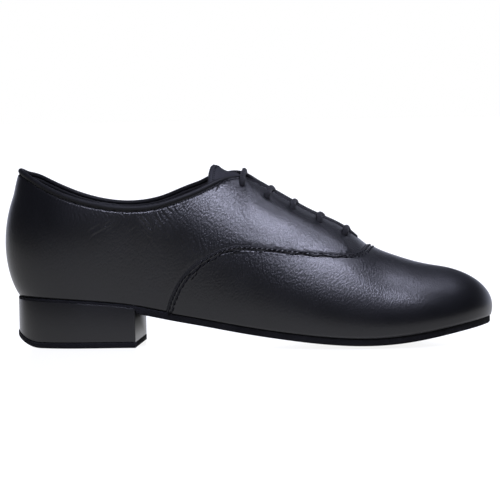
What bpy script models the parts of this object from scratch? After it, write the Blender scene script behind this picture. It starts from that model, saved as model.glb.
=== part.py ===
# Ballroom dance shoe: a man's laced leather Oxford for the right foot, on a low block heel.
# Metres, +X to the toe, +Y to the inner (medial) side, +Z up. The floor is z = 0 and the
# origin is on it, under the middle of the heel.
from collections import namedtuple

import bmesh
import bpy
import numpy as np

# Lengths along the shoe
LENGTH = 0.290  # back of the upper to the tip of the toe
ORIGIN_FROM_BACK = 0.046
BREAST_FROM_BACK = 0.0805  # front face of the heel
THROAT_FROM_BACK = 0.2105  # front end of the lacing gap
SEAM_START_FROM_BACK = 0.0995  # where the vamp's rear edge meets the sole
SEAM_END_FROM_BACK = 0.2168  # where the vamp's edge crosses the instep ridge
TONGUE_TOP_FROM_BACK = 0.1275
TONGUE_FRONT_FROM_BACK = 0.226
FIRST_EYELET_FROM_BACK = 0.1460
LAST_EYELET_FROM_BACK = 0.2035

# Widths of the last's bottom
HEEL_SEAT_WIDTH = 0.060
BALL_WIDTH = 0.094

# Heights
INSTEP_HEIGHT = 0.0885  # ridge above the foot bed at the top of the lacing
TOE_HEIGHT = 0.0315  # ridge above the foot bed at the toe
HEEL_LIFT = 0.0238  # foot bed at the back, above the foot bed at the ball
TOE_SPRING = 0.0092
TREAD_CROWN = 0.0022  # how far the sole's edges stand off the floor at the ball
TREAD_WEAR = 0.0004  # depth that the flat spot takes off the crown

# Walls and layers
CLEARANCE = 0.0003
TONGUE_CLEARANCE = 0.0011
UPPER_WALL = 0.0016
VAMP_THICKNESS = 0.0009
TONGUE_THICKNESS = 0.0016
INSOLE_THICKNESS = 0.0018
SOLE_THICKNESS = 0.0045
SEAT_THICKNESS = 0.0022  # the sole over the heel block
SOLE_EDGE = 0.0008  # the sole stands out this far past the upper's foot
SEAT_RECESS = 0.0004  # and is let in this far over the heel block
BLOCK_EDGE = 0.0005
TIP_THICKNESS = 0.0033
TIP_EDGE = 0.0010
HEEL_BEVEL_HEIGHT = 0.0070  # lift of the tread at the very back of the heel
HEEL_BEVEL_LENGTH = 0.0170

# Lacing, tongue and collar
FACING_GAP = 0.0080
TONGUE_HALF_WIDTH = 0.0240
EYELET_COUNT = 5
EYELET_RADIUS = 0.0018
EYELET_SETBACK_TOP = 0.0150  # eyelet to the facing's edge
EYELET_SETBACK_FRONT = 0.0103
LACE_RADIUS = 0.0012
BINDING_RADIUS = 0.0015
CORNER_ROUNDING = 0.0016  # softens the facing's top corner

# Fineness of the meshes
HALF_COLUMNS = 30
REAR_COLUMNS = 12
SEAM_COLUMNS = 18
TOE_COLUMNS = 11
WALL_ROWS = 7
VAMP_ROWS = 7
SOLE_STRIPS = 6
HEEL_COLUMNS = 14
HEEL_CROWDING = 1.3  # over 1, columns stand closer together at the back of the heel

# The last, from the back round one side to the tip. Every length is a share: "at" and
# "ridge_at" of LENGTH, "outer", "inner", "ridge_side", "low_out" and "high_out" of the local
# width, and "low_up" and "high_down" of the local ridge height.
Station = namedtuple(
    "Station", "at outer inner ridge_at ridge_side low_out low_up high_out high_down"
)
LAST = [
    Station(0.026, 0.000, 0.000, 0.072, 0.00, 0.180, 0.19, 0.452, 0.290),
    Station(0.050, 0.308, 0.300, 0.088, 0.00, 0.167, 0.22, 0.500, 0.220),
    Station(0.110, 0.475, 0.450, 0.145, 0.00, 0.117, 0.28, 0.567, 0.110),
    Station(0.214, 0.500, 0.465, 0.235, 0.00, 0.100, 0.31, 0.620, 0.040),
    Station(0.345, 0.480, 0.405, 0.345, 0.01, 0.080, 0.36, 0.560, 0.020),
    Station(0.483, 0.450, 0.370, 0.462, 0.03, 0.065, 0.38, 0.350, 0.000),
    Station(0.621, 0.500, 0.450, 0.580, 0.03, 0.064, 0.36, 0.310, 0.000),
    Station(0.741, 0.527, 0.473, 0.690, 0.03, 0.064, 0.36, 0.330, 0.000),
    Station(0.862, 0.447, 0.410, 0.786, 0.02, 0.064, 0.40, 0.300, 0.000),
    Station(0.959, 0.250, 0.255, 0.862, 0.01, 0.048, 0.42, 0.235, 0.000),
    Station(0.9966, -0.02, 0.020, 0.903, 0.01, 0.037, 0.37, 0.190, 0.000),
]
WIDTH_BLEND_START = 0.30  # behind it the local width is the heel seat's
WIDTH_BLEND_END = 0.60  # ahead of it the local width is the ball's

# Height of the foot bed's edge: shares of HEEL_LIFT and of TOE_SPRING, and how much of the
# tread's crown is there.
BedRow = namedtuple("BedRow", "at lift spring crown")
FOOT_BED = [
    BedRow(0.00, 1.000, 0.00, 0.00),
    BedRow(0.10, 0.967, 0.00, 0.00),
    BedRow(0.20, 0.886, 0.00, 0.00),
    BedRow(0.28, 0.770, 0.00, 0.05),
    BedRow(0.34, 0.625, 0.00, 0.20),
    BedRow(0.42, 0.455, 0.00, 0.50),
    BedRow(0.50, 0.292, 0.00, 0.80),
    BedRow(0.58, 0.160, 0.00, 1.00),
    BedRow(0.66, 0.055, 0.00, 1.00),
    BedRow(0.73, 0.000, 0.00, 1.00),
    BedRow(0.80, 0.000, 0.03, 1.00),
    BedRow(0.87, 0.000, 0.28, 0.90),
    BedRow(0.94, 0.000, 0.67, 0.60),
    BedRow(1.00, 0.000, 1.00, 0.20),
]

# Ridge of the last above the foot bed: shares of INSTEP_HEIGHT and of TOE_HEIGHT. Behind the
# lacing it is the last's own top, above the collar.
RidgeRow = namedtuple("RidgeRow", "at instep toe")
RIDGE = [
    RidgeRow(0.000, 0.920, 0.00),
    RidgeRow(0.083, 0.990, 0.00),
    RidgeRow(0.155, 1.045, 0.00),
    RidgeRow(0.228, 1.068, 0.00),
    RidgeRow(0.345, 1.080, 0.00),
    RidgeRow(0.414, 1.060, 0.00),
    RidgeRow(0.476, 1.022, 0.00),
    RidgeRow(0.534, 0.952, 0.00),
    RidgeRow(0.593, 0.862, 0.00),
    RidgeRow(0.648, 0.778, 0.00),
    RidgeRow(0.703, 0.680, 0.00),
    RidgeRow(0.752, 0.408, 0.42),
    RidgeRow(0.800, 0.247, 0.66),
    RidgeRow(0.845, 0.108, 0.88),
    RidgeRow(0.903, 0.000, 1.00),
]

# Top edge of the leather at the collar on each side, as a share of the local ridge height.
EdgeRow = namedtuple("EdgeRow", "at outer inner")
COLLAR = [
    EdgeRow(0.030, 0.890, 0.890),
    EdgeRow(0.058, 0.826, 0.815),
    EdgeRow(0.081, 0.770, 0.752),
    EdgeRow(0.135, 0.668, 0.642),
    EdgeRow(0.210, 0.604, 0.580),
    EdgeRow(0.272, 0.598, 0.592),
    EdgeRow(0.315, 0.628, 0.640),
    EdgeRow(0.376, 0.718, 0.758),
    EdgeRow(0.420, 0.804, 0.850),
    EdgeRow(0.464, 0.909, 0.940),
    EdgeRow(0.490, 0.961, 0.972),
    EdgeRow(0.530, 1.020, 1.020),
]

# Half of the lacing gap, as a share of half FACING_GAP, by share of the gap's length.
GapRow = namedtuple("GapRow", "along share")
LACING_GAP = [
    GapRow(-1.0, 1.0),
    GapRow(0.0, 1.0),
    GapRow(0.5, 0.75),
    GapRow(0.88, 0.5),
    GapRow(1.0, 0.0),
    GapRow(1.1, -1.0),
    GapRow(3.0, -4.0),
]

# Rear and upper edge of the vamp seen from the side: "along" runs from the seam's start to
# its end, and "rise" is a share of the local ridge height.
SeamRow = namedtuple("SeamRow", "along rise")
VAMP_SEAM = [
    SeamRow(0.000, 0.000),
    SeamRow(0.006, 0.025),
    SeamRow(0.016, 0.070),
    SeamRow(0.030, 0.112),
    SeamRow(0.050, 0.168),
    SeamRow(0.080, 0.232),
    SeamRow(0.120, 0.298),
    SeamRow(0.165, 0.354),
    SeamRow(0.228, 0.416),
    SeamRow(0.290, 0.474),
    SeamRow(0.340, 0.509),
    SeamRow(0.400, 0.541),
    SeamRow(0.470, 0.571),
    SeamRow(0.560, 0.608),
    SeamRow(0.660, 0.652),
    SeamRow(0.755, 0.696),
    SeamRow(0.855, 0.757),
    SeamRow(0.905, 0.804),
    SeamRow(0.945, 0.868),
    SeamRow(0.978, 0.934),
    SeamRow(1.000, 1.000),
]

CALF = (0.012, 0.012, 0.014)
SUEDE = (0.010, 0.010, 0.011)
LINING = (0.020, 0.020, 0.022)
CORD = (0.008, 0.008, 0.009)


def clear_scene():
    for old in list(bpy.data.objects):
        bpy.data.objects.remove(old, do_unlink=True)


def second_derivatives(knots, values, closed):
    """Bending of the cubic spline at each knot."""
    count = len(knots) - 1 if closed else len(knots)
    step = np.diff(knots)
    slope = np.diff(values, axis=0) / step[:, None]
    system = np.zeros((count, count))
    wanted = np.zeros((count, values.shape[1]))
    for i in range(count):
        if not closed and i in (0, count - 1):
            system[i, i] = 1.0
            continue
        before, after = step[i - 1], step[i]
        system[i, i - 1] = before
        system[i, i] = 2 * (before + after)
        system[i, (i + 1) % count] = after
        wanted[i] = 6 * (slope[i] - slope[i - 1])
    bend = np.linalg.solve(system, wanted)
    return np.vstack([bend, bend[:1]]) if closed else bend


def smooth_curve(knots, values, closed=False):
    """A function that reads the smoothest curve through the values at any place."""
    knots = np.asarray(knots, float)
    values = np.asarray(values, float).reshape(len(knots), -1)
    bend = second_derivatives(knots, values, closed)

    def read(place):
        place = np.asarray(place, float)
        if closed:
            place = knots[0] + np.mod(place - knots[0], knots[-1] - knots[0])
        i = np.clip(np.searchsorted(knots, place, side="right") - 1, 0, len(knots) - 2)
        step = knots[i + 1] - knots[i]
        b = ((place - knots[i]) / step)[..., None]
        a = 1 - b
        curl = ((a**3 - a) * bend[i] + (b**3 - b) * bend[i + 1]) * step[..., None] ** 2 / 6
        return a * values[i] + b * values[i + 1] + curl

    return read


def table_curve(rows, place, *columns):
    """The smooth curve through a table's columns, read by one of them."""
    knots = [getattr(row, place) for row in rows]
    values = [[getattr(row, column) for column in columns] for row in rows]
    return smooth_curve(knots, values)


BED_CURVE = table_curve(FOOT_BED, "at", "lift", "spring", "crown")
RIDGE_CURVE = table_curve(RIDGE, "at", "instep", "toe")
COLLAR_CURVE = table_curve(COLLAR, "at", "outer", "inner")


def local_width(at):
    """Width of the last's bottom that the shares of a station follow."""
    share = np.clip((at - WIDTH_BLEND_START) / (WIDTH_BLEND_END - WIDTH_BLEND_START), 0, 1)
    share = share * share * (3 - 2 * share)
    return HEEL_SEAT_WIDTH + (BALL_WIDTH - HEEL_SEAT_WIDTH) * share


def bed_edge(x):
    """Height of the sole's upper edge, x metres from the back."""
    lift, spring, _ = np.moveaxis(BED_CURVE(x / LENGTH), -1, 0)
    ball = SOLE_THICKNESS + TREAD_CROWN - TREAD_WEAR
    return ball + lift * HEEL_LIFT + spring * TOE_SPRING


def bed_crown(x, across):
    """How far the bed sinks below its edges; across runs from -1 to 1 over its width."""
    crown = np.clip(BED_CURVE(x / LENGTH)[..., 2], 0, 1)
    return TREAD_CROWN * crown * (1 - across**2)


def ridge_height(x):
    """Ridge of the last above the edge of the foot bed."""
    instep, toe = np.moveaxis(RIDGE_CURVE(x / LENGTH), -1, 0)
    return instep * INSTEP_HEIGHT + toe * TOE_HEIGHT


def station_knots():
    """Distance round half of the outline to each station, the same on both sides."""
    mean = [
        (s.at * LENGTH, local_width(s.at) * (s.outer + s.inner) / 2) for s in LAST
    ]
    steps = [np.hypot(b[0] - a[0], b[1] - a[1]) for a, b in zip(mean, mean[1:])]
    return np.concatenate([[0.0], np.cumsum(steps)])


HALF_KNOTS = station_knots()
HALF_GIRTH = HALF_KNOTS[-1]


def ring_table():
    """The stations all the way round: outer side to the tip, then back along the inner."""
    outer = [(s, -1, s.outer) for s in LAST]
    inner = [(s, 1, s.inner) for s in LAST[-2:0:-1]]
    return outer + inner + outer[:1]


def ring_curve():
    """Everything that the table says of the last, read by the distance round its outline."""
    rows = []
    for station, side, share in ring_table():
        width = local_width(station.at)
        ridge_x = station.ridge_at * LENGTH
        ridge_width = local_width(station.ridge_at)
        rise = ridge_height(np.array(ridge_x))
        rows.append(
            [
                station.at * LENGTH,
                side * share * width,
                ridge_x,
                station.ridge_side * ridge_width,
                station.low_out * width,
                station.low_up * rise,
                station.high_out * ridge_width,
                station.high_down * rise,
            ]
        )
    knots = np.concatenate([HALF_KNOTS, 2 * HALF_GIRTH - HALF_KNOTS[-2::-1]])
    return smooth_curve(knots, rows, closed=True)


RING = ring_curve()
SMALL_STEP = 0.0002


def outward(round_at):
    """Level outward direction of the outline."""
    ahead = RING(round_at + SMALL_STEP)[..., :2] - RING(round_at - SMALL_STEP)[..., :2]
    normal = np.stack([ahead[..., 1], -ahead[..., 0]], -1)
    return normal / np.linalg.norm(normal, axis=-1, keepdims=True)


def last_point(round_at, up):
    """Outer face of the upper: round_at runs round the outline and up from foot to ridge."""
    round_at, up = np.broadcast_arrays(np.asarray(round_at, float), np.asarray(up, float))
    ring = RING(round_at)
    foot_x, foot_y, ridge_x, ridge_y, low_out, low_up, high_out, high_down = np.moveaxis(
        ring, -1, 0
    )
    out = outward(round_at)
    foot = np.stack([foot_x, foot_y, bed_edge(foot_x) + CLEARANCE], -1)
    ridge_z = bed_edge(ridge_x) + ridge_height(ridge_x)
    ahead = ridge_x + SMALL_STEP
    ridge_slope = (bed_edge(ahead) + ridge_height(ahead) - ridge_z) / SMALL_STEP
    ridge = np.stack([ridge_x, ridge_y, ridge_z], -1)
    low = foot + np.stack([out[..., 0] * low_out, out[..., 1] * low_out, low_up], -1)
    high = ridge + np.stack(
        [
            out[..., 0] * high_out,
            out[..., 1] * high_out,
            ridge_slope * out[..., 0] * high_out - high_down,
        ],
        -1,
    )
    t = up[..., None]
    return (
        (1 - t) ** 3 * foot
        + 3 * (1 - t) ** 2 * t * low
        + 3 * (1 - t) * t**2 * high
        + t**3 * ridge
    )


def last_normal(round_at, up):
    """Outward normal of the last. On the ridge both sides have the same one."""
    step = 0.002
    up = np.asarray(up, float)
    below = np.minimum(up, 1 - 2 * step)
    low, high = np.maximum(below - step, 0), below + step
    along = last_point(round_at + SMALL_STEP, below) - last_point(round_at - SMALL_STEP, below)
    rise = last_point(round_at, high) - last_point(round_at, low)
    normal = np.cross(along, rise)
    ridge_x = RING(round_at)[..., 2]
    heights = [bed_edge(x) + ridge_height(x) for x in (ridge_x, ridge_x + SMALL_STEP)]
    slope = (heights[1] - heights[0]) / SMALL_STEP
    on_ridge = np.stack([-slope, 0 * slope, 1 + 0 * slope], -1)
    normal = np.where((up > 1 - step)[..., None], on_ridge, normal)
    return normal / np.linalg.norm(normal, axis=-1, keepdims=True)


def lifted(round_at, up, lift):
    """A point off the outer face of the upper, by lift metres."""
    return last_point(round_at, up) + np.asarray(lift)[..., None] * last_normal(round_at, up)


def crossing(inside, round_at, start=0.0):
    """The first place up each column where inside() turns negative, or 1 if it never does."""
    steps = np.linspace(start, 1.0, 60)
    found = np.ones(len(round_at))
    for k, place in enumerate(round_at):
        values = inside(place, steps)
        past = np.nonzero(values < 0)[0]
        if not len(past):
            continue
        low, high = steps[max(past[0] - 1, 0)], steps[past[0]]
        for _ in range(30):
            middle = (low + high) / 2
            if inside(place, np.array([middle]))[0] < 0:
                high = middle
            else:
                low = middle
        found[k] = low
    return found


def half_gap(x):
    """Half of the lacing gap, negative where the facings have closed."""
    start = FIRST_EYELET_FROM_BACK
    along = (x - start) / (THROAT_FROM_BACK - start)
    rows = [row.along for row in LACING_GAP]
    shares = [row.share for row in LACING_GAP]
    return FACING_GAP / 2 * np.interp(along, rows, shares)


def leather_room(round_at, up):
    """Distance to the leather's top edge: the collar's height and the lacing gap, rounded."""
    point = last_point(np.full_like(up, round_at), up)
    x, y, z = point[..., 0], point[..., 1], point[..., 2]
    rises = COLLAR_CURVE(np.clip(x / LENGTH, COLLAR[0].at, COLLAR[-1].at))
    share = np.clip(0.5 + y / HEEL_SEAT_WIDTH, 0, 1)
    rise = rises[..., 0] * (1 - share) + rises[..., 1] * share
    collar = bed_edge(x) + rise * ridge_height(x) - z
    collar = np.where(x / LENGTH > COLLAR[-1].at, INSTEP_HEIGHT, collar)
    ridge_y = RING(round_at)[..., 3]
    gap = np.abs(y - ridge_y) - half_gap(x)
    gap = np.where(x < TONGUE_TOP_FROM_BACK, HEEL_SEAT_WIDTH, gap)
    k = CORNER_ROUNDING
    return -k * np.logaddexp(-collar / k, -gap / k)


def seam_room(round_at, up):
    """Distance below the vamp's edge."""
    point = last_point(np.full_like(up, round_at), up)
    x, z = point[..., 0], point[..., 2]
    along = (x - SEAM_START_FROM_BACK) / (SEAM_END_FROM_BACK - SEAM_START_FROM_BACK)
    rise = np.interp(along, [r.along for r in VAMP_SEAM], [r.rise for r in VAMP_SEAM])
    height = bed_edge(x) + rise * ridge_height(x) - z
    return np.where(along > 1, INSTEP_HEIGHT, height)


def place_on_outline(x, column=0):
    """Distance round the outer side at which the table's column reaches x."""
    low, high = 0.0, HALF_GIRTH
    for _ in range(50):
        middle = (low + high) / 2
        if RING(np.array(middle))[column] < x:
            low = middle
        else:
            high = middle
    return (low + high) / 2


def in_frame(points):
    """Moves points from the back of the shoe to the part's own origin."""
    return np.asarray(points) - np.array([ORIGIN_FROM_BACK, 0, 0])


def material(name, colour, roughness):
    made = bpy.data.materials.new(name)
    made.use_nodes = True
    shader = made.node_tree.nodes["Principled BSDF"]
    shader.inputs["Base Color"].default_value = (*colour, 1.0)
    shader.inputs["Roughness"].default_value = roughness
    shader.inputs["Metallic"].default_value = 0.0
    return made


def new_object(name, mesh, finish):
    made = bpy.data.objects.new(name, mesh)
    PARTS.objects.link(made)
    made.data.materials.clear()
    made.data.materials.append(finish)
    return made


def grid_faces(rows, columns, offset=0):
    """Quads of a grid whose points run column by column."""
    faces = []
    for i in range(columns - 1):
        for j in range(rows - 1):
            a = offset + i * rows + j
            faces.append((a, a + rows, a + rows + 1, a + 1))
    return faces


def loft_mesh(name, points, faces):
    """A mesh of a loft, with the points that fall together merged."""
    mesh = bpy.data.meshes.new(name)
    mesh.from_pydata([tuple(p) for p in in_frame(points)], [], faces)
    shape = bmesh.new()
    shape.from_mesh(mesh)
    bmesh.ops.remove_doubles(shape, verts=shape.verts, dist=1e-6)
    bmesh.ops.dissolve_degenerate(shape, edges=shape.edges, dist=1e-7)
    bmesh.ops.recalc_face_normals(shape, faces=shape.faces)
    shape.to_mesh(mesh)
    shape.free()
    mesh.shade_smooth()
    mesh.set_sharp_from_angle(angle=np.radians(40))
    return mesh


def both_sides(outer_places):
    """Places round the outline from the back, by the outer side, to the tip and home."""
    return [outer_places, 2 * HALF_GIRTH - outer_places]


def wall_surface(name, places, heights, lift):
    """The open face of a wall on both sides of the shoe, with each side's row heights.

    Both sides share their places, so they meet at the back, the tip and the ridge."""
    points, faces = [], []
    rows = heights[0].shape[1]
    for side, side_heights in zip(both_sides(places), heights):
        start = len(points)
        for place, up in zip(side, side_heights):
            points.extend(lifted(np.full(rows, place), up, lift))
        faces.extend(grid_faces(rows, len(places), start))
    return loft_mesh(name, points, faces)


def spread(low, high, rows):
    """Rows spread evenly between two heights of each column."""
    return low[:, None] + (high - low)[:, None] * np.linspace(0, 1, rows)


def face_outward(mesh):
    """Turns an open wall so that its faces look away from the shoe's inside."""
    shape = bmesh.new()
    shape.from_mesh(mesh)
    shape.faces.ensure_lookup_table()
    middle = np.mean([v.co for v in shape.verts], axis=0)
    middle[2] = min(v.co.z for v in shape.verts)
    turned = sum(
        np.dot(f.normal, np.array(f.calc_center_median()) - middle) * f.calc_area()
        for f in shape.faces
    )
    if turned < 0:
        bmesh.ops.reverse_faces(shape, faces=shape.faces)
    shape.to_mesh(mesh)
    shape.free()


def thicken(made, thickness, inward):
    """Gives an open wall its thickness, towards the foot or away from it."""
    solid = made.modifiers.new("Wall", "SOLIDIFY")
    solid.thickness = thickness
    solid.offset = -1.0 if inward else 1.0
    solid.use_even_offset = True
    solid.use_quality_normals = True
    return made


def slab(name, places, outline, top, bottom, finish):
    """A plate between two heights, in strips that run across the shoe.

    outline(place) is the rim's point, and top and bottom give heights by x and by the share
    of the way across, from -1 at the outer rim to 1 at the inner."""
    across = np.linspace(-1, 1, SOLE_STRIPS + 1)
    points, faces = [], []
    rows = len(across)
    for height in (top, bottom):
        start = len(points)
        for outer, inner in zip(*both_sides(places)):
            a, b = outline(outer), outline(inner)
            share = ((across + 1) / 2)[:, None]
            line = a + (b - a) * share
            z = height(line[:, 0], np.ones(rows) if np.allclose(a, b) else across)
            points.extend(np.column_stack([line, z]))
        faces.extend(grid_faces(rows, len(places), start))
    half = rows * len(places)
    rims = []
    for i in range(len(places) - 1):
        for j in (0, rows - 1):
            a = i * rows + j
            rims.append((a, a + rows, a + rows + half, a + half))
    for i in (0, len(places) - 1):
        if np.allclose(points[i * rows], points[(i + 1) * rows - 1]):
            continue
        for j in range(rows - 1):
            a = i * rows + j
            rims.append((a, a + 1, a + 1 + half, a + half))
    return new_object(name, loft_mesh(name, points, faces + rims), finish)


def offset_outline(distance):
    """The foot of the upper moved outward."""
    return lambda place: RING(np.array(place))[:2] + distance * outward(np.array(place))


def even_places(start, end, count):
    return np.linspace(start, end, count)


def sole_thickness(x):
    """Full in the forepart and waist, thinner over the heel block."""
    return np.where(x > BREAST_FROM_BACK + CLEARANCE / 2, SOLE_THICKNESS, SEAT_THICKNESS)


def bed_top(x, across):
    return bed_edge(x) - bed_crown(x, across)


def sole_bottom(x, across):
    """Underside of the sole, flattened where it stands on the floor."""
    return np.maximum(bed_top(x, across) - sole_thickness(x), 0)


def tread(x, across):
    """Underside of the heel, which lifts at the very back."""
    back = LAST[0].at * LENGTH - TIP_EDGE
    share = np.clip((back + HEEL_BEVEL_LENGTH - x) / HEEL_BEVEL_LENGTH, 0, 1)
    return HEEL_BEVEL_HEIGHT * share**2 + 0 * across


def make_outsole(finish):
    """One sole from toe to heel, with its thin seat over the heel block."""
    breast = place_on_outline(BREAST_FROM_BACK)
    step = CLEARANCE
    rear = even_places(0, place_on_outline(BREAST_FROM_BACK), HEEL_COLUMNS)
    front = even_places(place_on_outline(BREAST_FROM_BACK + step), HALF_GIRTH, 2 * HEEL_COLUMNS)

    def outline(place):
        from_back = min(place, 2 * HALF_GIRTH - place)
        edge = -SEAT_RECESS if from_back <= breast + 1e-6 else SOLE_EDGE
        point = RING(np.array(place))[:2] + edge * outward(np.array(place))
        if from_back in (rear[-1], front[0]):
            point[0] = BREAST_FROM_BACK if from_back == rear[-1] else BREAST_FROM_BACK + step
        return point

    return slab("outsole", np.concatenate([rear, front]), outline, bed_top, sole_bottom, finish)


def straight_breast(outline, places):
    """Ends a heel piece's outline on the flat breast."""
    last_places = [places[-1], 2 * HALF_GIRTH - places[-1]]

    def ended(place):
        point = outline(place)
        if min(abs(place - end) for end in last_places) < 1e-9:
            point[0] = BREAST_FROM_BACK
        return point

    return ended


def make_heel(block_finish, tip_finish):
    """The heel block under the sole's seat, and the suede tip that it stands on."""
    places = even_places(0, place_on_outline(BREAST_FROM_BACK), HEEL_COLUMNS)

    def block_top(x, across):
        return bed_top(x, across) - SEAT_THICKNESS - CLEARANCE

    def block_bottom(x, across):
        return tread(x, across) + TIP_THICKNESS + CLEARANCE

    def tip_top(x, across):
        return tread(x, across) + TIP_THICKNESS

    block_outline = straight_breast(offset_outline(BLOCK_EDGE), places)
    tip_outline = straight_breast(offset_outline(TIP_EDGE), places)
    block = slab("heel_block", places, block_outline, block_top, block_bottom, block_finish)
    tip = slab("heel_tip", places, tip_outline, tip_top, tread, tip_finish)
    return block, tip


def make_insole(finish):
    """The sock that the foot stands on, inside the upper's foot."""
    places = even_places(0, HALF_GIRTH, HALF_COLUMNS)
    outline = offset_outline(-UPPER_WALL - 3 * CLEARANCE)

    def top(x, across):
        return bed_top(x, across) + CLEARANCE + INSOLE_THICKNESS

    def bottom(x, across):
        return bed_top(x, across) + CLEARANCE

    return slab("insole", places, outline, top, bottom, finish)


def seam_places():
    """Columns between the seam's start and its end, evenly spread along the seam."""
    start = place_on_outline(SEAM_START_FROM_BACK)
    end = place_on_outline(SEAM_END_FROM_BACK, column=2)
    fine = np.linspace(start, end, 160)
    line = last_point(fine, seam_heights(fine))
    gone = np.concatenate([[0], np.cumsum(np.linalg.norm(np.diff(line, axis=0), axis=1))])
    return np.interp(np.linspace(0, gone[-1], SEAM_COLUMNS + 1), gone, fine)


def seam_heights(places):
    """How far up each column the vamp reaches."""
    top = crossing(seam_room, places)
    top[places <= place_on_outline(SEAM_START_FROM_BACK) + 1e-9] = 0.0
    top[places >= place_on_outline(SEAM_END_FROM_BACK, column=2) - 1e-9] = 1.0
    return top


def upper_places():
    """Columns of the upper: rear, past the seam, then ahead of the lacing."""
    climbing = seam_places()
    rear = climbing[0] * np.linspace(0, 1, REAR_COLUMNS + 1)[:-1] ** HEEL_CROWDING
    ahead = even_places(climbing[-1], HALF_GIRTH, TOE_COLUMNS + 1)[1:]
    return np.concatenate([rear, climbing, ahead])


def upper_rows(places):
    """Row heights of the upper below and above the seam, for each side."""
    below, above = [], []
    seam = seam_heights(places)
    for side in both_sides(places):
        top = crossing(leather_room, side)
        even = (VAMP_ROWS - 1) / (VAMP_ROWS + WALL_ROWS - 2)
        easing = 1 - np.linspace(0, 1, REAR_COLUMNS) ** 2
        seam[:REAR_COLUMNS] = top[:REAR_COLUMNS] * even * easing
        below.append(spread(0 * seam, seam, VAMP_ROWS))
        above.append(spread(seam, np.maximum(top, seam), WALL_ROWS))
    return below, above


def make_upper(finish):
    """Quarters, facings and lining as one hollow wall, open at collar, lacing and foot."""
    places = upper_places()
    below, above = upper_rows(places)
    rows = [np.hstack([low, high[:, 1:]]) for low, high in zip(below, above)]
    mesh = wall_surface("upper", places, rows, 0.0)
    face_outward(mesh)
    upper = thicken(new_object("upper", mesh, finish), UPPER_WALL, inward=True)
    for cutter in eyelet_cutters():
        cut = upper.modifiers.new("Eyelet", "BOOLEAN")
        cut.operation = "DIFFERENCE"
        cut.object = cutter
    return upper


def make_vamp(finish):
    """The vamp over the quarters, from its stitched rear edge to the toe."""
    places = upper_places()
    below, _ = upper_rows(places)
    rows = [side[REAR_COLUMNS:] for side in below]
    mesh = wall_surface("vamp", places[REAR_COLUMNS:], rows, CLEARANCE)
    face_outward(mesh)
    return thicken(new_object("vamp", mesh, finish), VAMP_THICKNESS, inward=False)


def reach_down(places, reach):
    """How far up each column lies the point that is reach metres from the ridge."""
    steps = np.linspace(1, 0, 200)
    found = []
    for place, wanted in zip(places, reach):
        line = last_point(np.full(len(steps), place), steps)
        gone = np.concatenate([[0], np.cumsum(np.linalg.norm(np.diff(line, axis=0), axis=1))])
        found.append(np.interp(wanted, gone, steps))
    return np.array(found)


def make_tongue(finish):
    """The tongue under the lacing, which stands up past the collar."""
    start = place_on_outline(TONGUE_TOP_FROM_BACK, column=2)
    end = place_on_outline(TONGUE_FRONT_FROM_BACK, column=2)
    places = even_places(start, end, SEAM_COLUMNS)
    low = reach_down(places, np.linspace(1.0, 0.75, len(places)) * TONGUE_HALF_WIDTH)
    lift = -UPPER_WALL - TONGUE_CLEARANCE
    rows = spread(low, np.ones_like(low), WALL_ROWS)
    mesh = wall_surface("tongue", places, [rows, rows], lift)
    face_outward(mesh)
    return thicken(new_object("tongue", mesh, finish), TONGUE_THICKNESS, inward=True)


def eyelet_places():
    """Columns and heights of the eyelets, from the top of the lacing to the front."""
    spots = np.linspace(FIRST_EYELET_FROM_BACK, LAST_EYELET_FROM_BACK, EYELET_COUNT)
    places = np.array([place_on_outline(x, column=2) for x in spots])
    setback = np.linspace(EYELET_SETBACK_TOP, EYELET_SETBACK_FRONT, EYELET_COUNT)
    return places, reach_down(places, setback + half_gap(spots))


def eyelet_cutters():
    """Round punches through both facings."""
    cutters = []
    places, up = eyelet_places()
    for side in both_sides(places):
        for place, height in zip(side, up):
            centre = in_frame(last_point(place, height))
            normal = last_normal(place, height)
            bpy.ops.mesh.primitive_cylinder_add(
                vertices=12, radius=EYELET_RADIUS, depth=8 * UPPER_WALL, location=centre
            )
            punch = bpy.context.object
            punch.rotation_mode = "QUATERNION"
            punch.rotation_quaternion = bpy_vector(normal).to_track_quat("Z", "Y")
            punch.name = f"punch_{len(cutters) + 1}"
            for owner in list(punch.users_collection):
                owner.objects.unlink(punch)
            CUTTERS.objects.link(punch)
            punch.hide_render = True
            punch.display_type = "WIRE"
            cutters.append(punch)
    return cutters


def bpy_vector(values):
    from mathutils import Vector

    return Vector([float(v) for v in values])


def tube(name, points, radius, finish):
    """A round cord or bead along points, with closed ends."""
    curve = bpy.data.curves.new(name, "CURVE")
    curve.dimensions = "3D"
    curve.bevel_depth = radius
    curve.bevel_resolution = 1
    curve.use_fill_caps = True
    line = curve.splines.new("POLY")
    line.points.add(len(points) - 1)
    for k, point in enumerate(in_frame(points)):
        line.points[k].co = (*point, 1.0)
        line.use_smooth = True
    return new_object(name, curve, finish)


def make_laces(finish):
    """The bars of the lace that lie across the facings, one for each pair of eyelets."""
    lift = LACE_RADIUS + CLEARANCE * np.array([1.3, 1.3, 1.3, 1.0, -1.5])
    bars = []
    for k, (place, up) in enumerate(zip(*eyelet_places())):
        climb = np.linspace(up, 1.0, 5)
        outer = lifted(np.full(5, place), climb, lift)
        inner = lifted(np.full(5, 2 * HALF_GIRTH - place), climb, lift)
        path = np.vstack([outer, inner[-2::-1]])
        bars.append(tube(f"lace_bar_{k + 1}", path, LACE_RADIUS, finish))
    return bars


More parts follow.
